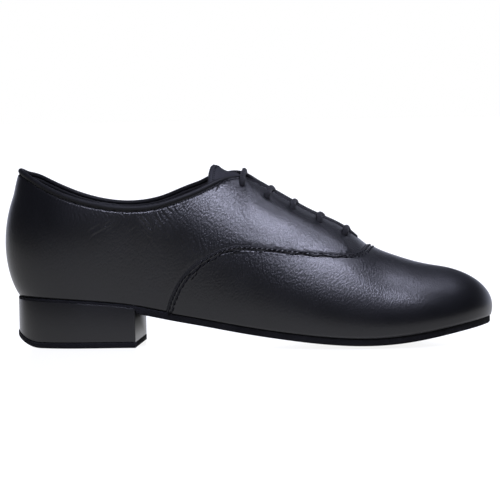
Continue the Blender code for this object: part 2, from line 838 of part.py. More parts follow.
def edge_line(places):
    """The binding's middle over the leather's edge, and the direction that leads off it.

    The bead stands proud of the leather, so that the tongue passes under it."""
    top = crossing(leather_room, places)
    edge = last_point(places, top)
    normal = last_normal(places, top)
    along = np.gradient(edge, axis=0)
    along /= np.linalg.norm(along, axis=1, keepdims=True)
    off = np.cross(along, normal)
    off /= np.linalg.norm(off, axis=1, keepdims=True)
    rise = last_point(places, np.minimum(top + 0.01, 1)) - last_point(places, top - 0.01)
    off *= np.sign(np.sum(off * rise, axis=1))[:, None]
    return edge + normal * (BINDING_RADIUS + CLEARANCE - UPPER_WALL), off


def make_binding(finish):
    """The rolled binding round the collar, from one facing's top to the other's."""
    corner = place_on_outline(FIRST_EYELET_FROM_BACK - 2 * BINDING_RADIUS, column=2)
    places = even_places(0, corner, 2 * HALF_COLUMNS)
    reach = BINDING_RADIUS + CLEARANCE
    sides = []
    for side in both_sides(places):
        middle, off = edge_line(side)
        sides.append(middle + off * reach)
    path = np.vstack([sides[0][::-1], sides[1][1:]])
    return tube("collar_binding", path, BINDING_RADIUS, finish)


def make_shoe():
    calf = material("black_calf", CALF, 0.42)
    heel_leather = material("heel_leather", CALF, 0.35)
    suede = material("black_suede", SUEDE, 0.95)
    lining = material("lining", LINING, 0.7)
    binding = material("binding", LINING, 0.6)
    cord = material("lace_cord", CORD, 0.85)
    make_outsole(suede)
    make_heel(heel_leather, suede)
    make_insole(lining)
    make_upper(calf)
    make_vamp(calf)
    make_tongue(lining)
    make_binding(binding)
    make_laces(cord)


clear_scene()
PARTS = bpy.data.collections.new("ballroom_dance_shoe")
CUTTERS = bpy.data.collections.new("cutters")
bpy.context.scene.collection.children.link(PARTS)
bpy.context.scene.collection.children.link(CUTTERS)
make_shoe()
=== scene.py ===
import math

import bmesh
import bpy
import numpy as np
from mathutils import Matrix, Quaternion, Vector
from mathutils.bvhtree import BVHTree


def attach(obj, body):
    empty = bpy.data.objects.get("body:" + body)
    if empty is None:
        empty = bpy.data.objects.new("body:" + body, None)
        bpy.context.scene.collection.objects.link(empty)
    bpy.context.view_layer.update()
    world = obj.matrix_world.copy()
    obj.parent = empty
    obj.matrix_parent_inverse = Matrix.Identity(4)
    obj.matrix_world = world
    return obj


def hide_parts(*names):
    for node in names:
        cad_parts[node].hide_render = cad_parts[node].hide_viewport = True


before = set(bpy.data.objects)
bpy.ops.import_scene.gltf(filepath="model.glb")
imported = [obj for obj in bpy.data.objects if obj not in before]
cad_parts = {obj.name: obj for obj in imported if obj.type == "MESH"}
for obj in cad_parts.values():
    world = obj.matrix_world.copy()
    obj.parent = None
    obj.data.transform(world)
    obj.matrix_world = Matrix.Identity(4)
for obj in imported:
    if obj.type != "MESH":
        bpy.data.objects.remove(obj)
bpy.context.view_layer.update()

mm = 0.001

# the last that the whole shoe is built on, the same one as the solids
shoe = {
    "length": 0.290, "originFromBack": 0.046, "breastFromBack": 0.0805,
    "throatFromBack": 0.2105, "seamStart": 0.0995, "seamEnd": 0.2168,
    "tongueTop": 0.1275, "tongueFront": 0.226,
    "firstEyelet": 0.1460,
    "heelSeatWidth": 0.060, "ballWidth": 0.094,
    "instepHeight": 0.0885, "toeHeight": 0.0315, "heelLift": 0.0238, "toeSpring": 0.0092,
    "treadCrown": 0.0022, "treadWear": 0.0004, "clearance": 0.0003,
    "soleThickness": 0.0045, "seatThickness": 0.0022, "facingGap": 0.0080,
}

# at, outer, inner, ridgeAt, ridgeSide, lowOut, lowUp, highOut, highDown
lastStations = np.array([
    [0.026, 0.000, 0.000, 0.072, 0.00, 0.180, 0.19, 0.452, 0.290],
    [0.050, 0.308, 0.300, 0.088, 0.00, 0.167, 0.22, 0.500, 0.220],
    [0.110, 0.475, 0.450, 0.145, 0.00, 0.117, 0.28, 0.567, 0.110],
    [0.214, 0.500, 0.465, 0.235, 0.00, 0.100, 0.31, 0.620, 0.040],
    [0.345, 0.480, 0.405, 0.345, 0.01, 0.080, 0.36, 0.560, 0.020],
    [0.483, 0.450, 0.370, 0.462, 0.03, 0.065, 0.38, 0.350, 0.000],
    [0.621, 0.500, 0.450, 0.580, 0.03, 0.064, 0.36, 0.310, 0.000],
    [0.741, 0.527, 0.473, 0.690, 0.03, 0.064, 0.36, 0.330, 0.000],
    [0.862, 0.447, 0.410, 0.786, 0.02, 0.064, 0.40, 0.300, 0.000],
    [0.959, 0.250, 0.255, 0.862, 0.01, 0.048, 0.42, 0.235, 0.000],
    [0.9966, -0.02, 0.020, 0.903, 0.01, 0.037, 0.37, 0.190, 0.000],
])

# at, lift, spring, crown
footBed = np.array([
    [0.00, 1.000, 0.00, 0.00], [0.10, 0.967, 0.00, 0.00], [0.20, 0.886, 0.00, 0.00],
    [0.28, 0.770, 0.00, 0.05], [0.34, 0.625, 0.00, 0.20], [0.42, 0.455, 0.00, 0.50],
    [0.50, 0.292, 0.00, 0.80], [0.58, 0.160, 0.00, 1.00], [0.66, 0.055, 0.00, 1.00],
    [0.73, 0.000, 0.00, 1.00], [0.80, 0.000, 0.03, 1.00], [0.87, 0.000, 0.28, 0.90],
    [0.94, 0.000, 0.67, 0.60], [1.00, 0.000, 1.00, 0.20],
])

# at, instep, toe
ridgeLine = np.array([
    [0.000, 0.920, 0.00], [0.083, 0.990, 0.00], [0.155, 1.045, 0.00], [0.228, 1.068, 0.00],
    [0.345, 1.080, 0.00], [0.414, 1.060, 0.00], [0.476, 1.022, 0.00], [0.534, 0.952, 0.00],
    [0.593, 0.862, 0.00], [0.648, 0.778, 0.00], [0.703, 0.680, 0.00], [0.752, 0.408, 0.42],
    [0.800, 0.247, 0.66], [0.845, 0.108, 0.88], [0.903, 0.000, 1.00],
])

# at, outer, inner
collarLine = np.array([
    [0.030, 0.890, 0.890], [0.058, 0.826, 0.815], [0.081, 0.770, 0.752],
    [0.135, 0.668, 0.642], [0.210, 0.604, 0.580], [0.272, 0.598, 0.592],
    [0.315, 0.628, 0.640], [0.376, 0.718, 0.758], [0.420, 0.804, 0.850],
    [0.464, 0.909, 0.940], [0.490, 0.961, 0.972], [0.530, 1.020, 1.020],
])

lacingGap = np.array([[-1, 1], [0, 1], [0.5, 0.75], [0.88, 0.5], [1, 0], [1.1, -1], [3, -4]])

# along, rise
vampSeam = np.array([
    [0.000, 0.000], [0.006, 0.025], [0.016, 0.070], [0.030, 0.112], [0.050, 0.168],
    [0.080, 0.232], [0.120, 0.298], [0.165, 0.354], [0.228, 0.416], [0.290, 0.474],
    [0.340, 0.509], [0.400, 0.541], [0.470, 0.571], [0.560, 0.608], [0.660, 0.652],
    [0.755, 0.696], [0.855, 0.757], [0.905, 0.804], [0.945, 0.868], [0.978, 0.934],
    [1.000, 1.000],
])


def smoothCurve(knots, values, closed=False):
    # cubic spline through the values, read at any place
    knots = np.asarray(knots, float)
    values = np.asarray(values, float).reshape(len(knots), -1)
    count = len(knots) - 1 if closed else len(knots)
    step = np.diff(knots)
    slope = np.diff(values, axis=0) / step[:, None]
    system, wanted = np.zeros((count, count)), np.zeros((count, values.shape[1]))
    for i in range(count):
        if not closed and i in (0, count - 1):
            system[i, i] = 1.0
            continue
        system[i, i - 1] = step[i - 1]
        system[i, i] = 2 * (step[i - 1] + step[i])
        system[i, (i + 1) % count] = step[i]
        wanted[i] = 6 * (slope[i] - slope[i - 1])
    bend = np.linalg.solve(system, wanted)
    if closed:
        bend = np.vstack([bend, bend[:1]])

    def read(place):
        place = np.asarray(place, float)
        if closed:
            place = knots[0] + np.mod(place - knots[0], knots[-1] - knots[0])
        i = np.clip(np.searchsorted(knots, place, side="right") - 1, 0, len(knots) - 2)
        h = knots[i + 1] - knots[i]
        b = ((place - knots[i]) / h)[..., None]
        a = 1 - b
        curl = ((a**3 - a) * bend[i] + (b**3 - b) * bend[i + 1]) * h[..., None] ** 2 / 6
        return a * values[i] + b * values[i + 1] + curl

    return read


bedCurve = smoothCurve(footBed[:, 0], footBed[:, 1:])
ridgeCurve = smoothCurve(ridgeLine[:, 0], ridgeLine[:, 1:])
collarCurve = smoothCurve(collarLine[:, 0], collarLine[:, 1:])


def ease(low, high, value):
    share = np.clip((value - low) / (high - low), 0, 1)
    return share * share * (3 - 2 * share)


def localWidth(at):
    wider = shoe["ballWidth"] - shoe["heelSeatWidth"]
    return shoe["heelSeatWidth"] + wider * ease(0.30, 0.60, at)


def bedEdge(x):
    lift, spring, _ = np.moveaxis(bedCurve(x / shoe["length"]), -1, 0)
    ball = shoe["soleThickness"] + shoe["treadCrown"] - shoe["treadWear"]
    return ball + lift * shoe["heelLift"] + spring * shoe["toeSpring"]


def bedTop(x, across):
    crown = np.clip(bedCurve(x / shoe["length"])[..., 2], 0, 1)
    return bedEdge(x) - shoe["treadCrown"] * crown * (1 - across**2)


def ridgeHeight(x):
    instep, toe = np.moveaxis(ridgeCurve(x / shoe["length"]), -1, 0)
    return instep * shoe["instepHeight"] + toe * shoe["toeHeight"]


def ringTable():
    s = lastStations
    width = localWidth(s[:, 0])
    meanY = width * (s[:, 1] + s[:, 2]) / 2
    steps = np.hypot(np.diff(s[:, 0] * shoe["length"]), np.diff(meanY))
    knots = np.concatenate([[0], np.cumsum(steps)])
    rows = []
    for side, share in ((-1, s[:, 1]), (1, s[:, 2])):
        ridgeX = s[:, 3] * shoe["length"]
        ridgeWidth = localWidth(s[:, 3])
        rise = ridgeHeight(ridgeX)
        rows.append(np.column_stack([
            s[:, 0] * shoe["length"], side * share * width, ridgeX, s[:, 4] * ridgeWidth,
            s[:, 5] * width, s[:, 6] * rise, s[:, 7] * ridgeWidth, s[:, 8] * rise,
        ]))
    half = knots[-1]
    table = np.vstack([rows[0], rows[1][-2:0:-1], rows[0][:1]])
    return smoothCurve(np.concatenate([knots, 2 * half - knots[-2::-1]]), table, closed=True), half


ring, halfGirth = ringTable()
smallStep = 0.0002


def outward(place):
    ahead = ring(place + smallStep)[..., :2] - ring(place - smallStep)[..., :2]
    normal = np.stack([ahead[..., 1], -ahead[..., 0]], -1)
    return normal / np.linalg.norm(normal, axis=-1, keepdims=True)


def lastPoint(place, up):
    # outer face of the leather, measured from the back of the shoe
    place, up = np.broadcast_arrays(np.asarray(place, float), np.asarray(up, float))
    footX, footY, ridgeX, ridgeY, lowOut, lowUp, highOut, highDown = np.moveaxis(ring(place), -1, 0)
    out = outward(place)
    foot = np.stack([footX, footY, bedEdge(footX) + shoe["clearance"]], -1)
    ridgeZ = bedEdge(ridgeX) + ridgeHeight(ridgeX)
    ahead = ridgeX + smallStep
    slope = (bedEdge(ahead) + ridgeHeight(ahead) - ridgeZ) / smallStep
    ridge = np.stack([ridgeX, ridgeY, ridgeZ], -1)
    low = foot + np.stack([out[..., 0] * lowOut, out[..., 1] * lowOut, lowUp], -1)
    high = ridge + np.stack([
        out[..., 0] * highOut, out[..., 1] * highOut, slope * out[..., 0] * highOut - highDown,
    ], -1)
    t = up[..., None]
    return ((1 - t) ** 3 * foot + 3 * (1 - t) ** 2 * t * low
            + 3 * (1 - t) * t**2 * high + t**3 * ridge)


refined = {"facing": -1.7, "vamp": 1.3, "farCollar": 1.4, "farCorner": 0.9, "farHeel": 0.9,
           "farShoulder": 1.0, "backTop": -2.6, "backRise": 1.2, "toeRise": 0.5,
           "toeFront": 0.6}  # mm


def skinPoint(place, up):
    # the last with what the sewn leather adds to it: the facings lie lower, the vamp
    # stands fuller, and the inner side's collar and the back stand out a little
    base = lastPoint(place, up)
    x, y, z = (base[..., k] / mm for k in range(3))
    across = np.abs(y)
    facing = ease(138, 152, x) * (1 - ease(178, 202, x)) * (1 - ease(3, 22, across))
    crown = ease(192, 212, x) * (1 - ease(258, 282, x)) * (1 - ease(2, 26, across))
    collar = ease(8, 28, x) * (1 - ease(100, 132, x)) * ease(2, 12, y) * ease(40, 80, z)
    corner = np.exp(-(((x - 139) / 9) ** 2)) * ease(1, 5, y) * ease(60, 90, z)
    back = ease(88, 106, z) * (1 - ease(20, 36, x))
    inner = ease(2, 12, y) * ease(40, 80, z)
    farHeel = np.exp(-(((x - 19.5) / 5) ** 2)) * inner
    shoulder = np.exp(-(((x - 122) / 4.5) ** 2)) * inner
    toe = ease(262, 282, x) * ease(10, 28, z)
    rise = (refined["facing"] * facing + refined["vamp"] * crown
            + refined["farCollar"] * collar + refined["farCorner"] * corner
            + refined["backRise"] * back * (1 - ease(2, 12, y))
            + refined["farHeel"] * farHeel + refined["farShoulder"] * shoulder
            + refined["toeRise"] * toe)
    forward = refined["backTop"] * back + refined["toeFront"] * toe
    return base + np.stack([forward, 0 * x, rise], -1) * mm


def skinNormal(place, up):
    place, up = np.broadcast_arrays(np.asarray(place, float), np.asarray(up, float))
    step = 0.002
    below = np.minimum(up, 1 - 2 * step)
    low, high = np.maximum(below - step, 0), below + step
    along = skinPoint(place + smallStep, below) - skinPoint(place - smallStep, below)
    normal = np.cross(along, skinPoint(place, high) - skinPoint(place, low))
    onRidge = skinPoint(place + smallStep, 1 + 0 * up) - skinPoint(place - smallStep, 1 + 0 * up)
    onRidge = np.stack([-onRidge[..., 2], 0 * up, onRidge[..., 0]], -1)
    onRidge *= np.sign(onRidge[..., 2:] + 1e-15)
    onRidge /= np.maximum(np.linalg.norm(onRidge, axis=-1, keepdims=True), 1e-12)
    normal /= np.maximum(np.linalg.norm(normal, axis=-1, keepdims=True), 1e-12)
    share = ease(1 - 8 * step, 1 - 2 * step, up)[..., None]
    normal = normal * (1 - share) + onRidge * share
    return normal / np.linalg.norm(normal, axis=-1, keepdims=True)


def halfGap(x):
    along = (x - shoe["firstEyelet"]) / (shoe["throatFromBack"] - shoe["firstEyelet"])
    return shoe["facingGap"] / 2 * np.interp(along, lacingGap[:, 0], lacingGap[:, 1])


def leatherRoom(place, up):
    x, y, z = np.moveaxis(lastPoint(place, up), -1, 0)
    at = x / shoe["length"]
    rises = collarCurve(np.clip(at, collarLine[0, 0], collarLine[-1, 0]))
    share = np.clip(0.5 + y / shoe["heelSeatWidth"], 0, 1)
    rise = rises[..., 0] * (1 - share) + rises[..., 1] * share
    collar = bedEdge(x) + rise * ridgeHeight(x) - z
    collar = np.where(at > collarLine[-1, 0], shoe["instepHeight"], collar)
    gap = np.abs(y - ring(place)[..., 3]) - halfGap(x)
    gap = np.where(x < shoe["tongueTop"], shoe["heelSeatWidth"], gap)
    k = 1.6 * mm  # rounding of the facing's top corner
    return -k * np.logaddexp(-collar / k, -gap / k)


def seamRoom(place, up):
    x, _, z = np.moveaxis(lastPoint(place, up), -1, 0)
    along = (x - shoe["seamStart"]) / (shoe["seamEnd"] - shoe["seamStart"])
    rise = np.interp(along, vampSeam[:, 0], vampSeam[:, 1])
    return np.where(along > 1, shoe["instepHeight"], bedEdge(x) + rise * ridgeHeight(x) - z)


def crossing(room, places):
    # how far up each column the room runs out
    steps = np.linspace(0, 1, 120)
    values = room(places[:, None], np.broadcast_to(steps, (len(places), len(steps))))
    past = values < 0
    first = np.argmax(past, axis=1)
    low = steps[np.maximum(first - 1, 0)]
    high = steps[first]
    for _ in range(24):
        middle = (low + high) / 2
        out = room(places, middle) < 0
        high = np.where(out, middle, high)
        low = np.where(out, low, middle)
    return np.where(past.any(axis=1), low, 1.0)


def placeAt(x, column=0):
    low, high = 0.0, halfGirth
    for _ in range(50):
        middle = (low + high) / 2
        if ring(np.array(middle))[column] < x:
            low = middle
        else:
            high = middle
    return (low + high) / 2


def mirrored(places):
    return 2 * halfGirth - places


def inFrame(points):
    return np.asarray(points) - np.array([shoe["originFromBack"], 0, 0])


def arcLength(line):
    steps = np.linalg.norm(np.diff(line, axis=0), axis=1)
    return np.concatenate([[0], np.cumsum(steps)])


def evenly(places, line, count):
    gone = arcLength(line)
    return np.interp(np.linspace(0, gone[-1], count), gone, places)


def unit(vectors):
    return vectors / np.maximum(np.linalg.norm(vectors, axis=-1, keepdims=True), 1e-12)


# meshes

pieces = bpy.data.collections.new("shoe")
bpy.context.scene.collection.children.link(pieces)


def makeMesh(name, points, faces, marks=None):
    mesh = bpy.data.meshes.new(name)
    mesh.from_pydata(inFrame(points).tolist(), [], faces)
    for mark, values in (marks or {}).items():
        layer = mesh.attributes.new(mark, "FLOAT", "POINT")
        layer.data.foreach_set("value", np.asarray(values, np.float32))
    shape = bmesh.new()
    shape.from_mesh(mesh)
    bmesh.ops.remove_doubles(shape, verts=shape.verts, dist=2e-6)
    bmesh.ops.dissolve_degenerate(shape, edges=shape.edges, dist=1e-7)
    bmesh.ops.recalc_face_normals(shape, faces=shape.faces)
    shape.to_mesh(mesh)
    shape.free()
    mesh.shade_smooth()
    return mesh


def addPiece(name, mesh, finish, stands=()):
    made = bpy.data.objects.new(name, mesh)
    pieces.objects.link(made)
    made.data.materials.clear()
    made.data.materials.append(finish)
    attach(made, "root")
    if stands:
        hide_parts(*stands)
    return made


def gridFaces(columns, rows, offset=0, ringed=False):
    faces = []
    for i in range(columns - 1):
        for j in range(rows if ringed else rows - 1):
            a, b = offset + i * rows + j, offset + i * rows + (j + 1) % rows
            faces.append((a, a + rows, b + rows, b))
    return faces


def outsideUp(mesh):
    # an open skin's faces are turned away from the foot
    points = np.array([v.co for v in mesh.vertices])
    middle = points.mean(axis=0)
    middle[2] = points[:, 2].min()
    turned = sum(
        float(np.dot(np.array(f.normal), np.array(f.center) - middle)) * f.area
        for f in mesh.polygons
    )
    if turned < 0:
        mesh.flip_normals()
    return mesh


def giveThickness(piece, thickness):
    wall = piece.modifiers.new("wall", "SOLIDIFY")
    wall.thickness = thickness
    wall.offset = -1.0
    wall.use_even_offset = True
    wall.use_quality_normals = True


def tubeMesh(name, path, side, lift, wide, tall, sides):
    # a cord or bead of oval section along a path, with rounded ends
    path, side, lift = np.asarray(path), unit(side), unit(lift)
    wide = np.broadcast_to(np.asarray(wide, float), (len(path),))
    tall = np.broadcast_to(np.asarray(tall, float), (len(path),))
    angles = np.linspace(0, 2 * math.pi, sides, endpoint=False)
    c, s = np.cos(angles), np.sin(angles)
    caps = []
    for end, inner in ((0, 1), (-1, -2)):
        way = unit(path[end] - path[inner])
        for k in (1, 2, 3):
            turn = k * math.pi / 7
            shrink, push = math.cos(turn), math.sin(turn) * min(wide[end], tall[end])
            caps.append((end, path[end] + way * push, shrink))
    rings = []

    def ringAt(centre, k, shrink):
        return (centre + side[k] * (c * wide[k] * shrink)[:, None]
                + lift[k] * (s * tall[k] * shrink)[:, None])

    for end, centre, shrink in reversed(caps[:3]):
        rings.append(ringAt(centre, end, shrink))
    for k in range(len(path)):
        rings.append(ringAt(path[k], k, 1.0))
    for end, centre, shrink in caps[3:]:
        rings.append(ringAt(centre, end, shrink))
    points = np.vstack(rings)
    faces = gridFaces(len(rings), sides, ringed=True)
    faces.append(tuple(range(sides)))
    faces.append(tuple(range(len(points) - sides, len(points))))
    return makeMesh(name, points, faces)


# finishes

def newNode(tree, kind, inputs=None, **settings):
    # a node with its settings; each input takes a value or another node's output
    node = tree.nodes.new(kind)
    for setting, value in settings.items():
        setattr(node, setting, value)
    for socket, value in (inputs or {}).items():
        if isinstance(value, bpy.types.NodeSocket):
            tree.links.new(value, node.inputs[socket])
        else:
            node.inputs[socket].default_value = value
    return node


def mathNode(tree, kind, *values):
    return newNode(tree, "ShaderNodeMath", dict(enumerate(values)), operation=kind).outputs[0]


def noiseNode(tree, vector, scale, detail, roughness):
    return newNode(tree, "ShaderNodeTexNoise", {
        "Vector": vector, "Scale": scale, "Detail": detail, "Roughness": roughness,
    }).outputs["Fac"]


def twoTones(tree, value, look):
    ramp = newNode(tree, "ShaderNodeValToRGB", {"Fac": value})
    stops = zip(ramp.color_ramp.elements, (0.3, 0.7), (look["dark"], look["light"]))
    for stop, place, colour in stops:
        stop.position, stop.color = place, (*colour, 1)
    return ramp.outputs["Color"]


def newFinish(name, shaderInputs=None):
    made = bpy.data.materials.new(name)
    made.use_nodes = True
    tree = made.node_tree
    tree.nodes.clear()
    shader = newNode(tree, "ShaderNodeBsdfPrincipled", shaderInputs)
    newNode(tree, "ShaderNodeOutputMaterial", {"Surface": shader.outputs[0]})
    return made, tree, shader


def bumpInto(shader, tree, height, strength, distance):
    bump = newNode(tree, "ShaderNodeBump", {
        "Height": height, "Strength": strength, "Distance": distance,
    })
    tree.links.new(bump.outputs["Normal"], shader.inputs["Normal"])


def markNode(tree, name):
    return newNode(tree, "ShaderNodeAttribute", attribute_name=name).outputs["Fac"]


def leatherFinish(name, look):
    made, tree, shader = newFinish(name, {
        "Specular IOR Level": look["specular"], "Coat Weight": look["coat"],
        "Coat Roughness": look["coatRoughness"],
    })
    plain = newNode(tree, "ShaderNodeTexCoord").outputs["Object"]
    vector = newNode(tree, "ShaderNodeMapping", {
        "Vector": plain, "Rotation": look["grainTurn"], "Scale": look["grainStretch"],
    }, vector_type="TEXTURE").outputs["Vector"]
    # pebbles: smooth cells bent by a noise
    warp = newNode(tree, "ShaderNodeTexNoise", {
        "Vector": vector, "Scale": look["grainScale"] * 0.6,
    }).outputs["Color"]
    bent = newNode(tree, "ShaderNodeVectorMath", {
        0: warp, 1: (look["grainWarp"],) * 3, 2: vector,
    }, operation="MULTIPLY_ADD").outputs[0]
    cells = newNode(tree, "ShaderNodeTexVoronoi", {
        "Vector": bent, "Scale": look["grainScale"], "Smoothness": 0.6,
    }, feature="SMOOTH_F1").outputs["Distance"]
    fine = noiseNode(tree, vector, look["grainScale"] * 1.9, 3.0, 0.55)
    broad = noiseNode(tree, plain, look["patchScale"], 3.0, 0.5)
    height = mathNode(tree, "ADD", mathNode(tree, "MULTIPLY", cells, -1.0),
                      mathNode(tree, "MULTIPLY", fine, 0.55))
    height = mathNode(tree, "MULTIPLY", height, mathNode(tree, "MULTIPLY_ADD", broad, 1.1, 0.35))
    low, high = look["roughness"]
    wear = mathNode(tree, "MULTIPLY_ADD", broad, high - low, low)
    if look["marked"]:
        # the grain fades where it is marked to, and the stitched grooves are dull
        height = mathNode(tree, "MULTIPLY", height, markNode(tree, "grain"))
        wear = mathNode(tree, "MAXIMUM", wear, markNode(tree, "dull"))
    bumpInto(shader, tree, height, look["bump"], look["grainHeight"])
    tree.links.new(twoTones(tree, broad, look), shader.inputs["Base Color"])
    tree.links.new(wear, shader.inputs["Roughness"])
    return made


def napFinish(name, look):
    # suede and cloth: no gloss, a soft sheen and a short nap
    made, tree, shader = newFinish(name, {
        "Roughness": look["roughness"], "Specular IOR Level": look["specular"],
        "Sheen Weight": look["sheen"], "Sheen Roughness": look["sheenRoughness"],
    })
    plain = newNode(tree, "ShaderNodeTexCoord").outputs["Object"]
    nap = noiseNode(tree, plain, look["napScale"], 4.0, 0.65)
    patch = noiseNode(tree, plain, look["patchScale"], 3.0, 0.5)
    mixed = mathNode(tree, "MULTIPLY_ADD", nap, 0.5, mathNode(tree, "MULTIPLY", patch, 0.5))
    bumpInto(shader, tree, nap, look["bump"], look["napHeight"])
    tree.links.new(twoTones(tree, mixed, look), shader.inputs["Base Color"])
    return made


calfLook = {
    "dark": (0.0024, 0.0025, 0.0032), "light": (0.0040, 0.0041, 0.0053),
    "roughness": (0.29, 0.38), "specular": 0.42, "coat": 0.12, "coatRoughness": 0.30,
    "grainScale": 900.0, "grainWarp": 0.0004, "grainHeight": 0.00018, "bump": 1.0,
    "grainTurn": (0.0, 0.50, 0.0), "grainStretch": (0.75, 1.0, 1.45),
    "patchScale": 38.0, "marked": True,
}
blockLook = dict(calfLook, roughness=(0.30, 0.38), bump=0.20, coat=0.2, marked=False)
bindingLook = dict(
    calfLook, roughness=(0.55, 0.65), bump=0.35, coat=0.0, specular=0.22, grainScale=1500.0,
    marked=False,
)
liningLook = dict(
    calfLook, dark=(0.008, 0.008, 0.010), light=(0.013, 0.013, 0.016), roughness=(0.62, 0.72),
    bump=0.35, coat=0.0, specular=0.25, marked=False,
)
suedeLook = {
    "dark": (0.004, 0.004, 0.005), "light": (0.011, 0.011, 0.013), "roughness": 0.95,
    "specular": 0.08, "sheen": 0.05, "sheenRoughness": 0.4, "bump": 0.8,
    "napHeight": 0.0006, "napScale": 1700.0, "patchScale": 90.0,
}
laceLook = dict(
    suedeLook, dark=(0.007, 0.007, 0.008), light=(0.016, 0.016, 0.018), specular=0.15,
    napScale=2600.0, napHeight=0.0003, sheen=0.08, roughness=0.85,
)
threadLook = dict(suedeLook, dark=(0.002, 0.002, 0.0025), light=(0.004, 0.004, 0.005),
                  sheen=0.0, specular=0.08, roughness=0.95, napScale=3000.0, napHeight=0.0001)

calf = leatherFinish("blackCalf", calfLook)
blockLeather = leatherFinish("heelLeather", blockLook)
bindingLeather = leatherFinish("bindingLeather", bindingLook)
liningLeather = leatherFinish("liningLeather", liningLook)
suede = napFinish("blackSuede", suedeLook)
laceCloth = napFinish("laceCord", laceLook)
thread = napFinish("blackThread", threadLook)
print("finishes made")


# listed folds of the leather, in mm from the back and from the floor

# x1, z1, x2, z2, bend, width, depth
collarFolds = [
    (72.5, 81.2, 77.5, 76.2, 0.4, 0.50, 0.17), (70.8, 80.5, 75.0, 75.8, 0.3, 0.50, 0.08),
    (75.0, 80.5, 79.0, 76.0, 0.3, 0.50, 0.10), (83.0, 80.0, 93.2, 69.6, -0.8, 0.60, 0.19),
    (83.0, 76.6, 92.2, 67.0, -0.6, 0.60, 0.17), (85.5, 80.8, 95.6, 70.8, -0.8, 0.60, 0.12),
    (85.0, 71.2, 93.8, 62.6, -0.4, 0.55, 0.12), (88.0, 67.0, 96.0, 58.0, -0.4, 0.60, 0.09),
    (65.0, 80.8, 67.4, 76.4, 0.3, 0.50, 0.13), (62.6, 80.6, 64.6, 76.8, 0.3, 0.50, 0.10),
    (55.0, 65.4, 71.6, 73.8, 0.6, 0.60, 0.13), (64.0, 68.0, 72.0, 72.8, 0.3, 0.55, 0.11),
    (61.5, 70.8, 68.8, 75.8, 0.3, 0.55, 0.10), (54.0, 69.0, 62.0, 73.4, 0.3, 0.60, 0.10),
    (78.0, 68.6, 83.8, 72.2, 0.2, 0.55, 0.09), (75.0, 66.6, 82.4, 69.4, 0.2, 0.60, 0.07),
    (92.4, 82.2, 99.8, 70.2, -1.0, 0.65, 0.16), (96.6, 83.8, 103.0, 74.8, -0.8, 0.65, 0.15),
    (94.4, 83.0, 101.0, 73.0, -0.9, 0.60, 0.10), (100.0, 84.4, 104.4, 79.6, -0.5, 0.60, 0.14),
    (103.4, 85.6, 107.4, 79.0, -0.5, 0.65, 0.13), (97.6, 72.0, 104.0, 62.0, -0.4, 0.60, 0.10),
    (101.0, 76.0, 107.6, 65.6, -0.4, 0.60, 0.10), (113.4, 59.6, 118.2, 51.8, -0.3, 0.55, 0.10),
    (120.0, 64.0, 123.4, 56.0, -0.4, 0.60, 0.15), (108.0, 66.0, 112.6, 57.6, -0.3, 0.60, 0.09),
    (116.0, 66.4, 119.6, 58.8, -0.3, 0.60, 0.09), (48.0, 79.8, 49.6, 75.6, 0.2, 0.50, 0.10),
    (51.0, 80.0, 53.4, 75.4, 0.2, 0.50, 0.10), (45.2, 80.6, 46.4, 76.8, 0.2, 0.50, 0.09),
    (57.0, 81.0, 60.0, 76.8, 0.3, 0.50, 0.10),
]
facingFolds = [
    (129.6, 99.0, 128.9, 91.8, 0.5, 0.75, 0.26), (131.6, 94.4, 134.8, 90.2, 0.3, 0.60, 0.16),
    (138.6, 91.6, 147.6, 82.0, -0.5, 0.60, 0.18), (141.0, 88.6, 148.4, 81.8, -0.3, 0.55, 0.16),
    (131.8, 100.0, 134.2, 95.8, 0.3, 0.60, 0.18), (134.2, 100.4, 137.2, 95.8, 0.3, 0.60, 0.18),
    (126.2, 97.2, 127.4, 91.6, 0.3, 0.60, 0.14), (123.0, 95.4, 124.2, 90.0, 0.3, 0.60, 0.12),
    (136.0, 90.0, 143.0, 83.0, -0.3, 0.55, 0.12), (150.0, 78.4, 156.0, 70.8, -0.3, 0.60, 0.08),
    (143.6, 80.6, 149.0, 73.0, -0.3, 0.60, 0.08),
]
facingLine = [
    (146.4, 94.0), (147.4, 90.0), (150.2, 84.6), (155.3, 81.0), (160.9, 78.2), (167.7, 75.3),
    (174.3, 72.7), (180.6, 70.0), (187.0, 67.0), (198.2, 61.4), (205.2, 57.8), (210.8, 54.9),
]
blister = {"x": 111, "z": 86.2, "wide": 1.6, "tall": 1.8, "height": 0.22}  # below the binding
facingFold = {"height": 0.95 * mm, "above": 11 * mm, "below": 15 * mm, "crisp": 0.9 * mm}


def foldHeight(points):
    total = np.zeros(points.shape[:-1])
    x, y, z = (points[..., k] / mm for k in range(3))
    here = ease(4, 10, np.abs(y))
    for x1, z1, x2, z2, bend, width, depth in collarFolds + facingFolds:
        length = math.hypot(x2 - x1, z2 - z1)
        ax, az = (x2 - x1) / length, (z2 - z1) / length
        along = ((x - x1) * ax + (z - z1) * az) / length
        off = (x - x1) * -az + (z - z1) * ax - bend * 4 * along * (1 - along)
        fade = np.clip(4 * along * (1 - along), 0, 1) ** 0.6 * (along > 0) * (along < 1)
        dip = np.exp(-((off / width) ** 2))
        brow = np.exp(-(((off - 1.6 * width) / width) ** 2))
        total += here * fade * depth * (0.8 * brow - dip)
    away = ((x - blister["x"]) / blister["wide"]) ** 2 + ((z - blister["z"]) / blister["tall"]) ** 2
    total += blister["height"] * here * np.exp(-away)
    return total * mm


